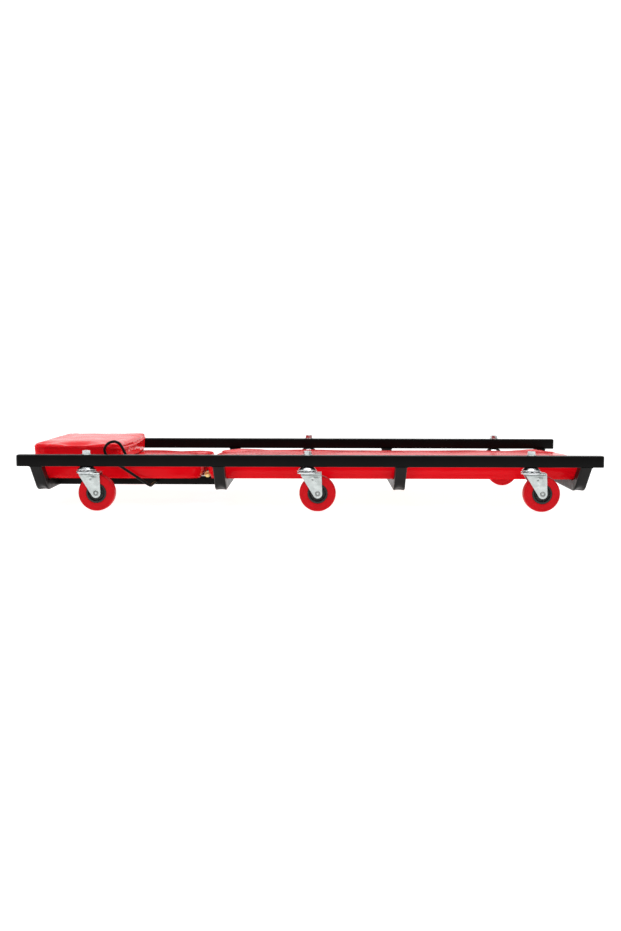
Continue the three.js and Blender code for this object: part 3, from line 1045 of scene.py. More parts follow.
def corner_folds(name, tree, x, z0, h, body, which):
    """Pleats: the spare cover folded flat beside each corner, on the end faces."""
    parts = []
    for end in which:
        sign = -1 if end == 0 else 1
        xe = x[0] if end == 0 else x[1]
        for sy in (-1, 1):
            rows = []
            nz = 9
            for k in range(nz):
                t = k / (nz - 1)
                z = z0 + 0.8 + (h * 0.62) * t
                reach = 15.5 * (1 - 0.72 * t ** 1.3) + 1.5
                row = []
                for m in range(5):
                    yy = sy * (PAD_HALF - 5.0 - reach * m / 4)
                    hit, nrm = cast(tree, (xe + sign * 60, yy, z), (-sign, 0, 0))
                    if hit is None or abs(hit.x - xe) > 14:
                        hit, nrm = on_surface(tree, (xe, yy, z))
                    lift = 0.15 + 0.85 * smoothstep(0.0, 0.35, m / 4)
                    row.append((hit, nrm, lift))
                rows.append(row)
            nr, nc = len(rows), 5
            outer = [[tuple(hh + nn * (0.9 * ll)) for hh, nn, ll in row] for row in rows]
            inner = [[tuple(hh - nn * 0.8) for hh, nn, ll in row] for row in rows]
            verts, faces = [], []
            for grid in (outer, inner):
                for row in grid:
                    verts += row
            def vid(g, r, c):
                return g * nr * nc + r * nc + c
            for r in range(nr - 1):
                for c in range(nc - 1):
                    faces.append((vid(0, r, c), vid(0, r, c + 1), vid(0, r + 1, c + 1), vid(0, r + 1, c)))
                    faces.append((vid(1, r, c), vid(1, r + 1, c), vid(1, r + 1, c + 1), vid(1, r, c + 1)))
            for r in range(nr - 1):
                for c in (0, nc - 1):
                    faces.append((vid(0, r, c), vid(0, r + 1, c), vid(1, r + 1, c), vid(1, r, c)))
            for c in range(nc - 1):
                for r in (0, nr - 1):
                    faces.append((vid(0, r, c), vid(0, r, c + 1), vid(1, r, c + 1), vid(1, r, c)))
            parts.append((verts, faces))
    v, f = merge(parts)
    return make(name, v, f, VINYL, body, "red_vinyl", sharp=60)


def fitted_clear(obj, limit_z, x_range):
    """Keep the headrest's top under the pillow level where the pillow sits on it."""
    def press(p, n):
        if x_range[0] - 8 < p.x < x_range[1] + 6 and p.z > limit_z - 4:
            w = smoothstep(x_range[1] + 6, x_range[1] - 4, p.x)
            top = limit_z * w + max(p.z, limit_z) * (1 - w)
            return Vector((p.x, p.y, min(p.z, top)))
        return p
    shape_points(obj, press)


# the sims come first, while the scene holds little else
bed = pad(
    "bed_cushion", BED_X, BED_Z[0], BED_Z[1], 6.0, 6.0, (7.0, 15.0),
    ((1.5, 75.4), (3, 76.7), (6, 77.8), (10, 78.4), (20, 79.3), (40, 80.6), (60, 81.6)),
)
headrest = pad(
    "headrest_cushion", HEAD_X, HEAD_Z[0], HEAD_Z[1], 6.0, 5.0, (1.0, 3.0),
    ((1.5, 73.4), (3, 74.8), (6, 75.9), (10, 76.6), (20, 77.5), (40, 78.2), (60, 78.7)),
)
fitted_clear(headrest, PILLOW_Z[0] - 0.4, PILLOW_X)


def make_pillow():
    x, y = PILLOW_X, (-PAD_HALF, PAD_HALF)
    z0, z1 = PILLOW_Z
    h = z1 - z0
    loops = []
    for inset, t in (
        (5.0, 0.0),
        (2.4, 0.03),
        (1.6, 0.10),
        (0.8, 0.35),
        (0.8, 0.62),
        (1.6, 0.80),
        (3.6, 0.90),
        (8.0, 0.945),
        (18, 0.955),
    ):
        loops.append(plan_ring(x, y, 17, z0 + h * t, inset=inset))
    obj = blob("head_pillow_cushion", loops, 5.0)
    sim_inflate(obj, lambda a, b, c: 1.0 if c < z0 + 2.5 else 0.0, 7.0)
    soften(obj, 2, 0.5, keep=lambda a, b, c: c < z0 + 2.0)
    subdivide(obj)

    fit_sides(
        obj, x, z0, h,
        ((0, 3.0), (0.05, 1.8), (0.12, 1.1), (0.35, 0.5), (0.6, 0.4), (0.8, 0.8), (0.88, 2.4), (0.94, 5.0), (1.0, 9.0)),
        17.0,
    )
    fit_top(
        obj, x, z0, h,
        ((1.5, 109.2), (3, 110.6), (6, 111.7), (10, 112.2), (20, 112.9), (40, 113.9), (60, 114.6), (75, 114.9)),
        17.0,
    )

    def dress(p, n):
        px, py, pz = p
        t = (pz - z0) / h
        out = Vector((0, 0, 0))
        dx, dy = min(px - x[0], x[1] - px), PAD_HALF - abs(py)
        edge = min(dx, dy)
        along = px if dy < dx else py + 4000
        side = smoothstep(12, 0, edge)
        # slack in the side boxing: shallow folds that lean as they fall
        wave = noise.noise(Vector((along * 0.045 + pz * 0.02, pz * 0.035, 5.0)))
        small = noise.noise(Vector((along * 0.12 + pz * 0.05, pz * 0.06, 8.0)))
        out -= n * (1.1 * wave + 0.5 * small) * side * smoothstep(0.95, 0.7, t) * smoothstep(0.0, 0.15, t)
        # the boxing is pinched in just beside each sewn corner
        from_corner = min(px - x[0], x[1] - px) if dy < dx else PAD_HALF - abs(py)
        pinch = math.exp(-(((from_corner - 15.0 - 5.0 * (0.8 - t)) / 3.6) ** 2))
        out -= n * 1.5 * pinch * side * smoothstep(0.25, 0.6, t) * smoothstep(0.93, 0.80, t)
        if t > 0.7:
            out.z += 0.6 * noise.noise(Vector((px * 0.016, py * 0.012, 11.0)))
            # dog-eared corners stand a little proud of the top
            for cx in x:
                for sy in (-1, 1):
                    rr = math.hypot(px - cx, py - sy * PAD_HALF)
                    if rr < 34:
                        k = smoothstep(34, 8, rr)
                        out.z += 0.3 * k
                        out.x += math.copysign(0.2 * k, cx - sum(x) / 2)
                        out.y += 0.2 * k * sy
                    if 16 < rr < 90:
                        u, w = abs(px - cx), abs(py - sy * PAD_HALF)
                        out.z -= 0.8 * math.exp(-((u - w) / 9.0) ** 2) * smoothstep(90, 40, rr) * smoothstep(16, 34, rr)
        return p + out

    shape_points(obj, dress)
    shape_points(obj, lambda p, n: Vector((p.x, p.y, max(p.z, z0 + 0.05))))
    shade(obj, 60)
    obj.data.materials.clear()
    obj.data.materials.append(VINYL)
    return obj


pillow = make_pillow()
for piece, body, cad, fill in (
    (bed, "frame", "bed_pad", 0.75),
    (headrest, "headrest", "headrest_pad", 0.75),
    (pillow, "headrest", "head_pillow", 0.85),
):
    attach(piece, body)
    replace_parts(piece, cad)

bed_tree, head_tree, pillow_tree = surface_of(bed), surface_of(headrest), surface_of(pillow)


def welt(name, tree, x, z_of, radius, body, proud=0.25, inset=0.0):
    """Seam welt that follows the pad's own surface round its sides."""
    ring = resample(plan_ring(x, (-PAD_HALF, PAD_HALF), 17, 0, n=8, inset=inset), 2.6)
    cx = (x[0] + x[1]) / 2
    pts = []
    for p in ring:
        z = z_of(p.x, p.y)
        target = Vector((min(max(p.x, x[0] + 26), x[1] - 26), min(max(p.y, -PAD_HALF + 26), PAD_HALF - 26), z))
        start = Vector((p.x, p.y, z))
        d = (target - start).normalized()
        hit, nrm = cast(tree, start - d * 40, d)
        if hit is None:
            hit, nrm = on_surface(tree, start)
        pts.append(hit + nrm * (radius * proud))
    pts = smooth_line(pts, 4)
    v, f = tube(pts, radius, sides=10, closed=True)
    # the welt takes the lighter vinyl copy, a painted highlight along the seam
    return make(name, v, f, VINYL_WELT_PAINTED_HIGHLIGHT, body, "red_vinyl", sharp=80), pts


def stitches(name, tree, pts, drop, body, pitch=5.2, length=3.4):
    """A row of thread stitches beside a welt."""
    line = resample(pts, 1.0)
    parts = []
    n = len(line)
    i = 0
    step = int(pitch)
    while i < n - step:
        a, b = line[i], line[(i + int(length)) % n]
        pa, na = on_surface(tree, a + Vector((0, 0, -drop)))
        pb, nb = on_surface(tree, b + Vector((0, 0, -drop)))
        mid = (pa + pb) / 2 + (na + nb) / 2 * 0.42
        parts.append(tube([pa - na * 0.15, pa + na * 0.28, mid, pb + nb * 0.28, pb - nb * 0.15], 0.3, sides=5, round_ends=False))
        i += step
    v, f = merge(parts)
    return make(name, v, f, THREAD, body, "red_vinyl", sharp=80)


THREAD = vinyl_material("red_thread", (0.42, 0.004, 0.010), (0.55, 0.008, 0.014), 0.6)


def pillow_seam(px, py):
    # nearly straight along the long sides' tops, sagging across the inner end
    inner_end = smoothstep(PILLOW_X[1] - 26, PILLOW_X[1] - 2, px)
    sag = 1.0 - (abs(py) / PAD_HALF) ** 2
    return 106.8 - 2.6 * inner_end - 3.2 * inner_end * sag + 0.5 * noise.noise(Vector((px * 0.02, py * 0.02, 0)))


seam, seam_pts = welt("head_pillow_welt", pillow_tree, PILLOW_X, pillow_seam, 1.5, "headrest")
stitches("head_pillow_stitches", pillow_tree, seam_pts, 4.2, "headrest")

hem_obj, hem_in, hem_out = hem("bed_cover_hem", BED_X, BED_Z[0], "frame", seed=1)


def over_cross(x, margin=16.0):
    return any(abs(x - c) < margin for c in CROSS_X)


staples("bed_cover_staples", hem_out, hem_in, BED_Z[0] - 0.08, "frame", lambda x, y: over_cross(x))
hem_obj2, hem_in2, hem_out2 = hem("headrest_cover_hem", HEAD_X, HEAD_Z[0], "headrest", seed=5)
staples(
    "headrest_cover_staples",
    hem_out2,
    hem_in2,
    HEAD_Z[0] - 0.08,
    "headrest",
    lambda x, y: over_cross(x) or abs(abs(y) - BAR_Y) < 16 or (x > -245 and 76 < abs(y) < 112),
)
corner_folds("bed_corner_folds", bed_tree, BED_X, BED_Z[0], BED_Z[1] - BED_Z[0], "frame", (0, 1))
corner_folds("headrest_corner_folds", head_tree, HEAD_X, HEAD_Z[0], HEAD_Z[1] - HEAD_Z[0], "headrest", (0, 1))


# =================================================================== boards
def board(name, x, z, body, cad):
    c = 6.2
    ring = lambda zz, ins: plan_ring((x[0] + c, x[1] - c), (-PAD_HALF + c, PAD_HALF - c), 10.5, zz, n=5, inset=ins)
    v, f = rings([ring(z, 0.5), ring(z + 0.5, 0), ring(z + PLY_T - 0.5, 0), ring(z + PLY_T, 0.5)])
    obj = make(name, v, f, PLY, body, "plywood", sharp=30)
    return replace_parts(obj, cad)


board("bed_plywood", BED_X, BED_Z[0] + 0.35, "frame", "bed_board")
board("headrest_plywood", HEAD_X, HEAD_Z[0] + 0.35, "headrest", "headrest_board")


# ==================================================================== frame
def rail(side, y):
    zc = (RAIL_LOW + RAIL_TOP) / 2
    outer = rounded(RAIL, RAIL, RAIL_R, 5)
    inner = rounded(RAIL - 2 * RAIL_WALL, RAIL - 2 * RAIL_WALL, RAIL_R - 1.0, 5)
    n = 24
    loops = []
    for i in range(n + 1):
        x = -RAIL_HALF + 2 * RAIL_HALF * i / n
        loops.append([(x, y + u, zc + v) for u, v in outer])
    for i in range(n, -1, -1):
        x = -RAIL_HALF + 2 * RAIL_HALF * i / n
        loops.append([(x, y + u, zc + v) for u, v in inner])
    v, f = rings(loops, closed=True)
    obj = make(f"rail_tube_{side}", v, f, PAINT, "frame", "frame_black", sharp=40)
    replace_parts(obj, f"side_rail_{side}")
    for end, sx in (("head", -1), ("foot", 1)):
        e = 508.0 * sx
        q = RAIL - 2 * RAIL_WALL - 0.4
        prof = [
            (16.0, q / 2 - 0.6, True),
            (15.4, q / 2, True),
            (2.2, q / 2, True),
            (2.05, RAIL / 2 - 0.05, False),
            (0.9, RAIL / 2, False),
            (0.35, RAIL / 2 - 0.35, False),
            (0.0, RAIL / 2 - 1.2, False),
            (0.0, 4.2, False),
            (0.35, 3.6, False),
        ]
        loops = []
        for depth, half, plug in prof:
            r = min(1.2 if plug else RAIL_R, half - 0.4)
            loops.append([(e - sx * depth, y + u, zc + v) for u, v in rounded(2 * half, 2 * half, r, 5)])
        v, f = rings(loops)
        cap = make(f"rail_cap_{end}_{side}", v, f, CAP, "frame", "black_plastic", sharp=35)
        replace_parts(cap, f"rail_end_cap_{end}_{side}")


for side, y in SIDES.items():
    rail(side, y)

LEG = math.radians(42)
CROSS_W, CROSS_D = 20.0, 20.0
BEND_MID = 36.0 - CROSS_D / 2
CROSS_MID_Z = 30.0 + CROSS_D / 2
sharp_y = 216.0 - (77.2 - 30.0) / math.tan(LEG)
FLAT_Y = sharp_y - 36.0 * math.tan(LEG / 2)
LEG_CUT = 77.25


def cross_member(name, x, cad, seed):
    """Square tube crushed at each bend: its outer wall is dished, its inner wall creased."""
    stations = []  # (y, z, normal angle, arc distance from bend middle)
    arc = BEND_MID * LEG
    flat_n = 34
    ys = []
    half = []
    # from the middle outwards on the +Y side
    for i in range(18):
        half.append((FLAT_Y * i / 18.0 * 0.86, None))
    for i in range(11):
        half.append((FLAT_Y * 0.86 + FLAT_Y * 0.14 * i / 10.0, None))
    pts = []
    for yv, _ in half:
        pts.append((yv, CROSS_MID_Z, 0.0, -(FLAT_Y - yv) - arc / 2))
    nb = 14
    for i in range(1, nb + 1):
        a = LEG * i / nb
        pts.append((FLAT_Y + BEND_MID * math.sin(a), CROSS_MID_Z + BEND_MID * (1 - math.cos(a)), a, arc * (i / nb) - arc / 2))
    y1, z1, _, _ = pts[-1]
    # leg, to just under the rail
    length = (LEG_CUT - z1) / math.sin(LEG)
    for s in [1.5, 3, 4.5, 6, 8, 10, 13, 17, 22, 28]:
        if s < length - 9:
            pts.append((y1 + s * math.cos(LEG), z1 + s * math.sin(LEG), LEG, arc / 2 + s))
    pts.append((y1 + length * math.cos(LEG), LEG_CUT, LEG, arc / 2 + length))
    both = [(-yv, z, -a, d) for yv, z, a, d in reversed(pts[1:])] + pts
    outline = rounded(CROSS_W, CROSS_D, 2.4, 4)
    dense = []
    for i, p in enumerate(outline):
        q = outline[(i + 1) % len(outline)]
        d = math.dist(p, q)
        k = 9 if d > 6 else 1
        for m in range(k):
            dense.append((p[0] + (q[0] - p[0]) * m / k, p[1] + (q[1] - p[1]) * m / k))
    loops = []
    last = len(both) - 1
    for i, (yv, z, a, d) in enumerate(both):
        w = math.exp(-((d / 9.5) ** 2))
        ny, nz = -math.sin(a), math.cos(a)
        ty, tz = math.cos(a), math.sin(a)
        loop = []
        for u, v in dense:
            across = math.cos(min(abs(u) / 9.4, 1.0) * math.pi / 2) ** 1.4
            if v < -4:
                v += 3.0 * w * across
            elif v > 4:
                v -= 5.2 * w * across
            u2 = u + math.copysign(0.9 * w * (1 - min(abs(v) / 9.5, 1.0) ** 2), u) if abs(u) > 6 else u
            py, pz = yv + v * ny, z + v * nz
            if i in (0, last):
                # cut level, along the leg
                t = (LEG_CUT - pz) / tz if i == last else (LEG_CUT - pz) / -tz
                if i == last:
                    py, pz = py + t * ty, LEG_CUT
                else:
                    py, pz = py - t * ty, LEG_CUT
            loop.append((x + u2, py, pz))
        loops.append(loop)
    v, f = rings(loops)
    obj = make(name, v, f, PAINT, "frame", "frame_black", sharp=55)
    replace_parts(obj, cad)
    # welds round the two cut ends
    for s in (-1, 1):
        end = loops[-1] if s > 0 else loops[0]
        ys = [p[1] for p in end]
        lo, hi = min(ys), max(ys)
        zc = LEG_CUT + 0.1
        path = [
            (x - CROSS_W / 2 - 0.2, lo + 2, zc),
            (x + CROSS_W / 2 + 0.2, lo + 2, zc),
            (x + CROSS_W / 2 + 0.2, hi - 4, zc),
            (x - CROSS_W / 2 - 0.2, hi - 4, zc),
        ]
        # the outer face is flush with the rail, so the bead runs round three sides
        path = [path[3], path[0], path[1], path[2]]
        wv, wf = weld_path(path, 1.15, seed=seed + s, closed=False)
        make(f"{name}_weld_{'far' if s > 0 else 'near'}", wv, wf, PAINT, "frame", "frame_black", sharp=80)
    return obj


for (name, cad), x, seed in zip(
    (
        ("cross_tube_head_end", "cross_member_head_end"),
        ("cross_tube_head_hinge", "cross_member_head_hinge"),
        ("cross_tube_bed_middle", "cross_member_bed_middle"),
        ("cross_tube_foot_end", "cross_member_foot_end"),
    ),
    CROSS_X,
    (11, 23, 37, 51),
):
    cross_member(name, x, cad, seed)


def headrest_bar(side, s):
    y = s * BAR_Y
    x0, x1 = CROSS_X[0] + CROSS_W / 2 + 0.3, CROSS_X[1] - CROSS_W / 2 - 0.3
    zc = 40.5
    outline = rounded(19, 19, 2.2, 4)
    inner = rounded(16.4, 16.4, 1.2, 4)
    n = 12
    xs = [x0 + (x1 - x0) * i / n for i in range(n + 1)]
    loops = [[(xx, y + u, zc + v) for u, v in outline] for xx in xs]
    loops += [[(xx, y + u, zc + v) for u, v in inner] for xx in reversed(xs)]
    v, f = rings(loops, closed=True)
    obj = make(f"headrest_tube_{side}", v, f, PAINT, "frame", "frame_black", sharp=40)
    hv, hf = lathe([(0, -16), (3.1, -16), (3.1, 16), (0, 16)], 24, "Y", (LEVER_X, y, LEVER_Z))
    cutter = make(f"hole_{side}", hv, hf, PAINT, sharp=40)
    mod = obj.modifiers.new("Hole", "BOOLEAN")
    mod.operation = "DIFFERENCE"
    mod.solver = "EXACT"
    mod.object = cutter
    apply_modifiers(obj)
    data = cutter.data
    bpy.data.objects.remove(cutter)
    bpy.data.meshes.remove(data)
    shade(obj, 40)
    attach(obj, "frame")
    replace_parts(obj, f"headrest_bar_{side}")
    for end, xe in (("head", x0 - 0.1), ("foot", x1 + 0.1)):
        path = [(xe, y + 9.7, 49.2), (xe, y + 9.7, 31.8), (xe, y - 9.7, 31.8), (xe, y - 9.7, 49.2)]
        wv, wf = weld_path(path, 1.1, seed=int(abs(xe)) + s, closed=False)
        make(f"headrest_tube_{side}_weld_{end}", wv, wf, PAINT, "frame", "frame_black", sharp=80)


headrest_bar("near", -1)
headrest_bar("far", 1)


# ==================================================================== hinge
def arc_pts(r, a0, a1, n=14):
    return [
        (HINGE_X + r * math.cos(math.radians(a0 + (a1 - a0) * i / n)), HINGE_Z + r * math.sin(math.radians(a0 + (a1 - a0) * i / n)))
        for i in range(n + 1)
    ]


BRACKET_Y = BAR_Y + 9.5 + 4 + 0.9
LEAF_Y = BRACKET_Y + 2.5 + 0.3


def hinge(side, s):
    def lo_hi(a, b):
        return (a, b) if s > 0 else (-b, -a)

    weld = CROSS_X[1] - 10.3
    outline = [(weld - 13, 33.5), (weld, 33.5), (weld, 47.5)] + arc_pts(6.5, -20, 200)
    v, f = prism(outline, *lo_hi(BRACKET_Y, BRACKET_Y + 2.5))
    obj = make(f"hinge_plate_{side}", v, f, PAINT, "frame", "frame_black", bevel=0.35, sharp=40)
    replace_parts(obj, f"hinge_bracket_{side}")
    path = [(weld, s * (BRACKET_Y + 2.8), 34.5), (weld, s * (BRACKET_Y + 2.8), 47)]
    wv, wf = weld_path(path, 1.2, seed=90 + s, closed=False)
    make(f"hinge_plate_{side}_weld", wv, wf, PAINT, "frame", "frame_black", sharp=80)

    z1 = HEAD_Z[0] - 0.3
    z0 = z1 - 2.0
    ear = [(-238, z0), (-186, z0)] + arc_pts(6.0, -35, 165) + [(-196.6, z1), (-238, z1)]
    ev, ef = prism(ear, *lo_hi(LEAF_Y, LEAF_Y + 2.5))
    y0, y1 = lo_hi(LEAF_Y + 2.4, LEAF_Y + 28)
    flange = rounded(38, y1 - y0 + 3, 3.0, 4)
    cy = (y0 + y1) / 2 - s * 1.5
    fv, ff = prism([(-219 + u, cy + w) for u, w in flange], z0, z1, "Z")
    v, f = merge([(ev, ef), (fv, ff)])
    obj = make(f"hinge_leaf_plate_{side}", v, f, ZINC, "headrest", "zinc", bevel=0.3, sharp=40)
    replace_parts(obj, f"hinge_leaf_{side}")
    # screws up into the board
    parts = []
    for px, py in ((-228, 10), (-228, 21), (-208, 16)):
        head = [(0, -1.9), (1.2, -1.9), (2.6, -1.6), (3.5, -0.9), (3.7, 0.0), (0, 0.0)]
        parts.append(lathe(head, 20, "Z", (px, s * (LEAF_Y + py), z0)))
    v, f = merge(parts)
    make(f"hinge_leaf_screws_{side}", v, f, ZINC_BRIGHT, "headrest", "zinc", sharp=40)

    # bolt: flanged hex head outside, shank, lock nut inside
    out = LEAF_Y + 2.5 + 0.3
    turn = Matrix.Rotation(math.radians(-90 * s), 3, "X")
    spin = Matrix.Rotation(math.radians(17 if s > 0 else -11), 3, "Z")
    head = moved(hexagon(8.0, 3.4, per=6), (0, 0, 0), turn @ spin)
    washer = moved(lathe([(2.6, 0), (5.4, 0), (5.6, 0.2), (5.6, 0.8), (5.4, 1.0), (2.6, 1.0), (2.6, 0)], 28), (0, 0, 0), turn)
    nut = moved(hexagon(8.0, 3.6, per=6), (0, 0, 0), turn)
    shank = moved(lathe([(0, 0), (2.2, 0), (2.5, 0.4), (2.5, 13.6), (0, 13.6)], 20), (0, 0, 0), turn)
    parts = [
        moved(washer, (HINGE_X, s * out, HINGE_Z)),
        moved(head, (HINGE_X, s * (out + 1.0), HINGE_Z)),
        moved(nut, (HINGE_X, s * (BRACKET_Y - 3.9), HINGE_Z)),
        moved(shank, (HINGE_X, s * (BRACKET_Y - 4.6), HINGE_Z)),
    ]
    v, f = merge(parts)
    obj = make(f"hinge_pivot_bolt_{side}", v, f, YELLOW, "frame", "yellow_zinc", sharp=35)
    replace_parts(obj, f"hinge_bolt_{side}")


hinge("near", -1)
hinge("far", 1)


# ==================================================================== lever
def lever():
    loop = [
        (-321.6, 82.6), (-328.0, 94.9), (-334.6, 107.8), (-339.7, 114.1), (-347.7, 116.9), (-354.9, 115.4),
        (-361.6, 110.4), (-365.2, 102.2), (-362.4, 93.6), (-353.8, 84.6), (-344.2, 77.7), (-334.6, 71.4),
    ]
    pts = spline([(x, LEVER_Y, z) for x, z in loop], 7)

    def bend(a, b, c, r=8.0, n=9):
        a, b, c = Vector(a), Vector(b), Vector(c)
        p = b + (a - b).normalized() * r
        q = b + (c - b).normalized() * r
        return [p.lerp(b, i / n).lerp(b.lerp(q, i / n), i / n) for i in range(n + 1)]

    half, crank = 45.0, 43.0
    corners = [
        (-334.6, LEVER_Y, 71.4),
        (LEVER_X, LEVER_Y, LEVER_Z),
        (LEVER_X, -half, LEVER_Z),
        (LEVER_X - crank, -half, LEVER_Z),
        (LEVER_X - crank, half, LEVER_Z),
        (LEVER_X, half, LEVER_Z),
        (LEVER_X, 86.0, LEVER_Z),
    ]
    for a, b, c in zip(corners[:-2], corners[1:-1], corners[2:]):
        pts += bend(a, b, c)
    pts.append(Vector(corners[-1]))
    v, f = tube(pts, 2.5, sides=18)
    obj = make("lift_lever_rod", v, f, ROD, "lever", "rod_black", sharp=60)
    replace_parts(obj, "lift_lever")
    # push-on retainer outside the far bar
    v, f = lathe([(2.5, 0), (6.2, 0.2), (6.4, 0.6), (5.2, 1.2), (3.2, 1.9), (2.5, 1.9), (2.5, 0)], 28, "Y", (LEVER_X, 76.2, LEVER_Z))
    make("lever_retainer", v, f, ZINC, "lever", "zinc", sharp=35)


lever()


# ================================================================== casters
def caster_parts():
    """Mesh data of each caster piece about its stem axis at x = y = 0."""
    parts = {}

    # stem bolt with a rolled thread above the nut, and the pressed upper race
    prof = [(0, 63.2), (4.6, 63.2), (6.0, 63.7), (6.3, 64.7), (6.3, 65.5), (4.0, 65.6), (4.0, 98.2)]
    zz = 98.4
    while zz < 104.0:
        prof += [(3.92, zz), (3.45, zz + 0.55)]
        zz += 1.1
    prof += [(3.92, 104.5), (3.4, 105.2), (0, 105.3)]
    parts["stem_bolt"] = (lathe(prof, 32), ZINC, "zinc", "frame")
    cup = [
        (4.1, 77.15), (9.2, 77.15), (11.2, 76.8), (12.6, 75.8), (13.9, 74.3), (15.0, 73.4), (15.55, 72.8), (15.6, 71.7),
        (15.3, 71.25), (14.8, 71.3), (14.7, 72.0), (14.2, 72.7), (13.1, 73.5), (12.0, 74.9), (10.9, 75.7), (9.0, 76.1), (4.1, 76.1), (4.1, 77.15),
    ]
    parts["upper_race"] = (lathe(cup, 56), ZINC_BRIGHT, "zinc", "frame")

    dish = [
        (5.0, 65.7), (16.6, 65.7), (17.6, 66.1), (18.0, 66.9), (18.0, 69.2), (17.75, 69.8), (17.2, 70.0), (16.6, 69.8),
        (16.2, 69.2), (15.4, 68.7), (14.4, 68.25), (13.0, 68.15), (12.0, 68.7), (11.0, 69.3), (5.0, 69.3), (5.0, 65.7),
    ]
    parts["lower_race"] = (lathe(dish, 60), ZINC_BRIGHT, "zinc", "swivel")

    balls = []
    count = 13
    for i in range(count):
        a = 2 * math.pi * i / count
        prof = [(2.25 * math.sin(t), -2.25 * math.cos(t)) for t in np.linspace(0, math.pi, 9)]
        prof[0], prof[-1] = (0, prof[0][1]), (0, prof[-1][1])
        balls.append(lathe(prof, 14, "Z", (13.7 * math.cos(a), 13.7 * math.sin(a), 70.85)))
    parts["bearing_balls"] = (merge(balls), BALL, "zinc", "swivel")

    # fork: one pressed sheet, legs tapering to a round end about the axle
    az, ax, r = AXLE_Z, TRAIL, 8.0
    t0 = math.radians(213)
    tx, tz = ax + r * math.cos(t0), az + r * math.sin(t0)
    top = 66.8
    mid = 14.0
    bend_r = 3.2

    def left(zv):
        if zv < tz:
            return ax - math.sqrt(max(r * r - (zv - az) ** 2, 0.0))
        k = (zv - tz) / (63.5 - tz)
        return tx + (-11.0 - tx) * min(k, 1.0)

    def right(zv):
        if zv < az:
            return ax + math.sqrt(max(r * r - (zv - az) ** 2, 0.0))
        return ax + r - (zv - az) * 1.4 / 35.65

    path = []  # (y, z, x from, x to)
    zs = [az - r + d for d in (0.04, 0.25, 0.7, 1.4, 2.3, 3.4, 4.7, 6.2)]
    zs += list(np.arange(az - 0.3, top - bend_r - 0.4, 1.25)) + [top - bend_r]
    for zv in zs:
        path.append((-mid, zv, left(zv), right(zv)))
    for i in range(1, 7):
        a = math.pi / 2 * i / 6
        path.append((-mid + bend_r * (1 - math.cos(a)), top - bend_r + bend_r * math.sin(a), left(64), right(64)))
    for yv in np.linspace(-mid + bend_r, 0, 8)[1:]:
        path.append((float(yv), top, left(64), right(64)))
    whole = path + [(-yv, zv, a, b) for yv, zv, a, b in reversed(path[:-1])]
    cols = 28
    grid = []
    for yv, zv, a, b in whole:
        row = []
        for c in range(cols + 1):
            f = c / cols
            x = a + (b - a) * f
            yy = yv
            if abs(abs(yv) - mid) < 1e-6:
                s = math.copysign(1, yv)
                # pressed dimple near the shoulder and a shallow rib down the middle
                dd = math.hypot(x - 9.2, zv - 57.6)
                yy -= s * 1.0 * math.exp(-((dd / 1.5) ** 2))
                centre = (a + b) / 2 + 1.0
                wide = (b - a) * 0.20
                ribz = smoothstep(40, 46, zv) * smoothstep(62.5, 58.5, zv)
                yy += s * 0.55 * math.exp(-(((x - centre - 3.0) / wide) ** 2)) * ribz
            row.append((x, yy, zv))
        grid.append(row)
    normals = []
    nr, nc = len(grid), cols + 1
    G = np.array(grid)
    du = np.gradient(G, axis=0)
    dv = np.gradient(G, axis=1)
    N = np.cross(du, dv)
    N /= np.linalg.norm(N, axis=2, keepdims=True) + 1e-12
    # the middle surface is offset both ways to give the 2 mm sheet
    A, B = G + N * 1.0, G - N * 1.0
    verts = [tuple(p) for p in A.reshape(-1, 3)] + [tuple(p) for p in B.reshape(-1, 3)]
    faces = []

    def vid(g, i, j):
        return g * nr * nc + i * nc + j

    for i in range(nr - 1):
        for j in range(nc - 1):
            faces.append((vid(0, i, j), vid(0, i, j + 1), vid(0, i + 1, j + 1), vid(0, i + 1, j)))
            faces.append((vid(1, i, j), vid(1, i + 1, j), vid(1, i + 1, j + 1), vid(1, i, j + 1)))
    for i in range(nr - 1):
        for j in (0, nc - 1):
            faces.append((vid(0, i, j), vid(0, i + 1, j), vid(1, i + 1, j), vid(1, i, j)))
    for j in range(nc - 1):
        for i in (0, nr - 1):
            faces.append((vid(0, i, j), vid(0, i, j + 1), vid(1, i, j + 1), vid(1, i, j)))
    parts["fork_shell"] = ((verts, faces), ZINC, "zinc", "swivel")

    # axle: hollow rivet with a flared, rolled lip each side
    h = 15.0
    lip = [
        (0, h - 2.6), (1.9, h - 2.6), (2.0, h + 0.6), (2.5, h + 1.35), (3.3, h + 1.55), (4.2, h + 1.2), (4.75, h + 0.5), (4.7, h + 0.05), (3.5, h + 0.02),
    ]
    prof = lip + [(rr, -hh) for rr, hh in reversed(lip)]
    # the rivet takes the darker zinc, painted shade for its shadowed hollow end
    parts["axle_rivet"] = (lathe(prof, 32, "Y", (ax, 0, az)), ZINC_RIVET_PAINTED_SHADE, "zinc", "swivel")

    # hub: rim, webbed recess and boss
    prof = [
        (4.0, -12.6), (7.4, -12.6), (8.0, -12.1), (8.3, -11.0), (8.7, -7.4), (9.4, -7.0), (12.8, -7.0), (13.4, -7.4), (13.9, -10.2), (14.4, -10.75),
        (16.4, -10.8), (17.1, -10.5), (17.3, -9.6),
    ]
    prof = prof + [(rr, -hh) for rr, hh in reversed(prof)] + [prof[0]]

    def ribs(angle, k, rr, hh):
        if 8.5 < rr < 13.45 and abs(hh) < 7.6:
            d = abs((angle + math.pi / 5) % (2 * math.pi / 5) - math.pi / 5)
            lift = smoothstep(0.125, 0.085, d)
            return hh + math.copysign(2.6 * lift, hh)
        return hh

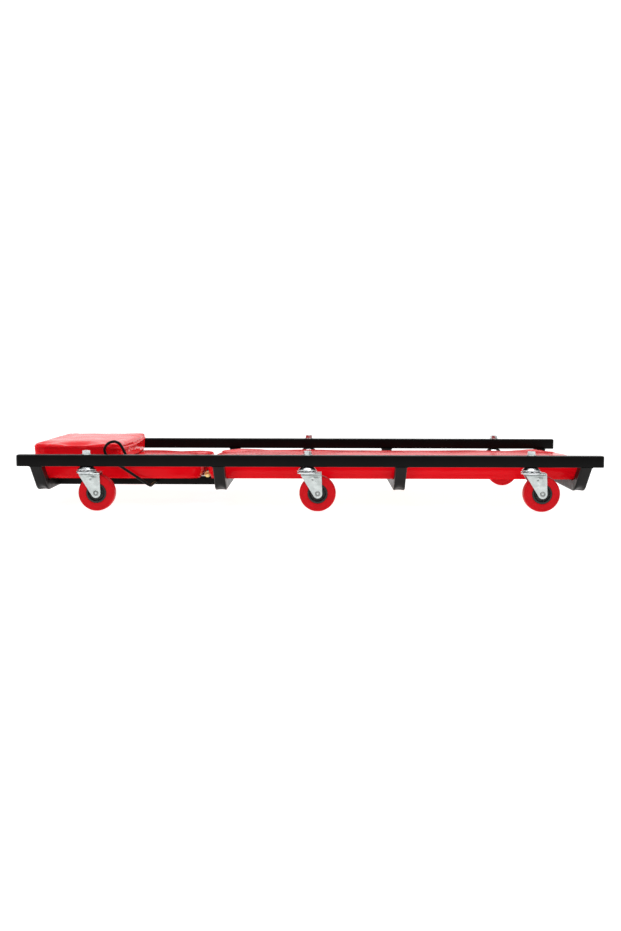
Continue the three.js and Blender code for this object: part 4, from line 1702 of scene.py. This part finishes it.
    parts["wheel_hub"] = (lathe(prof, 90, "Y", (ax, 0, az), ribs), HUB, "black_plastic", "wheel")
    sleeve = [(3.6, -12.9), (5.4, -12.9), (5.7, -12.6), (5.7, 12.6), (5.4, 12.9), (3.6, 12.9), (3.6, -12.9)]
    parts["hub_sleeve"] = (lathe(sleeve, 28, "Y", (ax, 0, az)), ZINC, "zinc", "wheel")

    # tread: flat sides, rolled shoulders, a fine parting line
    prof = [(17.45, -10.2), (17.9, -10.8), (18.6, -11.0), (25.4, -11.0), (25.9, -10.82), (26.4, -11.0), (27.9, -11.0)]
    for i in range(1, 9):
        a = math.pi / 2 * i / 8
        prof.append((27.9 + 3.6 * math.sin(a), -11.0 + 4.4 * (1 - math.cos(a))))
    prof += [(31.68, -3.6), (31.75, -0.5), (31.88, 0.0)]
    prof = prof + [(rr, -hh) for rr, hh in reversed(prof[:-1])] + [prof[0]]
    parts["wheel_tread"] = (lathe(prof, 96, "Y", (ax, 0, az)), TREAD, "red_tread", "wheel")

    # washer and lock nut on top of the rail
    w = [(4.3, 97.5), (7.9, 97.5), (8.2, 97.75), (8.2, 98.65), (7.9, 98.9), (4.3, 98.9), (4.3, 97.5)]
    parts["nut_washer"] = (lathe(w, 36), ZINC, "zinc", "frame")
    parts["stem_nut"] = (moved(hexagon(13.0, 5.8, bore=4.0, per=6), (0, 0, 98.95)), ZINC_BRIGHT, "zinc", "frame")
    return parts


CASTER = caster_parts()
NUT_TURN = {"head_near": 8, "middle_near": 21, "foot_near": -13, "head_far": 30, "middle_far": 3, "foot_far": 16}
WHEEL_TURN = {"head_near": 12, "middle_near": 47, "foot_near": 80, "head_far": 33, "middle_far": 5, "foot_far": 61}
REPLACED = {"stem_bolt": "stem", "stem_nut": "nut", "fork_shell": "fork", "axle_rivet": "axle", "wheel_hub": "hub", "wheel_tread": "tread"}

for end, x in ENDS.items():
    for side, y in SIDES.items():
        key = f"{end}_{side}"
        for piece, ((verts, faces), mat, slot, body) in CASTER.items():
            if piece == "stem_nut":
                turn = Matrix.Rotation(math.radians(NUT_TURN[key]), 3, "Z")
                verts = [tuple(turn @ Vector(p)) for p in verts]
            if piece in ("wheel_hub", "wheel_tread"):
                turn = Matrix.Rotation(math.radians(WHEEL_TURN[key]), 3, "Y")
                c = Vector((TRAIL, 0, AXLE_Z))
                verts = [tuple(turn @ (Vector(p) - c) + c) for p in verts]
            placed = [(p[0] + x, p[1] + y, p[2]) for p in verts]
            target = {"frame": "frame", "swivel": f"swivel_{key}", "wheel": f"wheel_{key}"}[body]
            sharp = {"fork_shell": 50, "wheel_tread": 48, "bearing_balls": 180, "stem_bolt": 32}.get(piece, 38)
            obj = make(f"caster_{piece}_{key}", placed, faces, mat, target, slot, sharp=sharp)
            if piece in REPLACED:
                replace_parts(obj, f"caster_{REPLACED[piece]}_{key}")


# ============================================== screws that hold the boards
def board_screws():
    parts = []
    for x in CROSS_X[1:]:
        for y in (-104.0, 104.0):
            head = [(0, -2.4), (1.4, -2.4), (3.2, -2.0), (4.5, -1.1), (4.9, 0.0), (0, 0.0)]
            parts.append(lathe(head, 26, "Z", (x, y, 29.95)))
    v, f = merge(parts)
    make("bed_screws", v, f, ZINC_BRIGHT, "frame", "zinc", sharp=40)


board_screws()


# =================================================== floor, light and camera
def floor():
    me = bpy.data.meshes.new("floor")
    s = 14.0
    me.from_pydata([(-s, -s, -0.0002), (s, -s, -0.0002), (s, s, -0.0002), (-s, s, -0.0002)], [], [(0, 1, 2, 3)])
    obj = link(bpy.data.objects.new("floor", me))
    m, nt, b = material("floor_white")
    b.inputs["Base Color"].default_value = (0.40, 0.40, 0.40, 1)
    b.inputs["Roughness"].default_value = 0.95
    b.inputs["Specular IOR Level"].default_value = 0.0
    b.inputs["Emission Color"].default_value = (1, 1, 1, 1)
    b.inputs["Emission Strength"].default_value = FLOOR_GLOW
    me.materials.append(m)


FLOOR_GLOW = 0.91
floor()


def area(name, at, look, size, power, shape="RECTANGLE", size_y=None):
    data = bpy.data.lights.new(name, "AREA")
    data.shape = shape
    data.size = size
    if size_y:
        data.size_y = size_y
    data.energy = power
    obj = link(bpy.data.objects.new(name, data))
    obj.location = at
    obj.rotation_euler = (Vector(look) - Vector(at)).to_track_quat("-Z", "Y").to_euler()
    return obj


area("key", (-1.2, -2.3, 2.6), (0, 0, 0.05), 2.2, 30, size_y=1.2)
area("fill", (1.9, -2.2, 1.7), (0, 0, 0.05), 1.6, 11, size_y=1.0)
area("overhead", (0.1, 0.25, 2.5), (0, 0, 0.05), 2.4, 26, size_y=1.4)

world = bpy.data.worlds.new("studio")
SCENE.world = world
world.use_nodes = True
wt = world.node_tree
bg = wt.nodes["Background"]
tc = wt.nodes.new("ShaderNodeTexCoord")
sp = wt.nodes.new("ShaderNodeSeparateXYZ")
wt.links.new(tc.outputs["Generated"], sp.inputs["Vector"])
mr = wt.nodes.new("ShaderNodeMapRange")
mr.interpolation_type = "SMOOTHSTEP"
mr.inputs["From Min"].default_value = -0.35
mr.inputs["From Max"].default_value = 0.35
mr.inputs["To Min"].default_value = 0.20
mr.inputs["To Max"].default_value = 1.04
wt.links.new(sp.outputs["Y"], mr.inputs["Value"])
wt.links.new(mr.outputs["Result"], bg.inputs["Strength"])
bg.inputs["Color"].default_value = (1, 1, 1, 1)

CAMERA_X = 0.010
CAMERA_Y = -2.134
camera_data = bpy.data.cameras.new("camera")
camera_data.lens = 43.12
camera_data.sensor_width = 36.0
camera_data.clip_start = 0.05
camera = link(bpy.data.objects.new("camera", camera_data))
camera.location = (CAMERA_X, CAMERA_Y, 0.262)
yaw = math.atan2(CAMERA_X, -CAMERA_Y - 0.2155) - 0.00058
camera.rotation_euler = (
    Matrix.Rotation(yaw, 4, "Z")
    @ Matrix.Rotation(math.radians(90 - 5.408), 4, "X")
    @ Matrix.Rotation(math.radians(0.13), 4, "Z")
).to_euler()
SCENE.camera = camera
SCENE.view_settings.view_transform = "Standard"
SCENE.view_settings.look = "None"
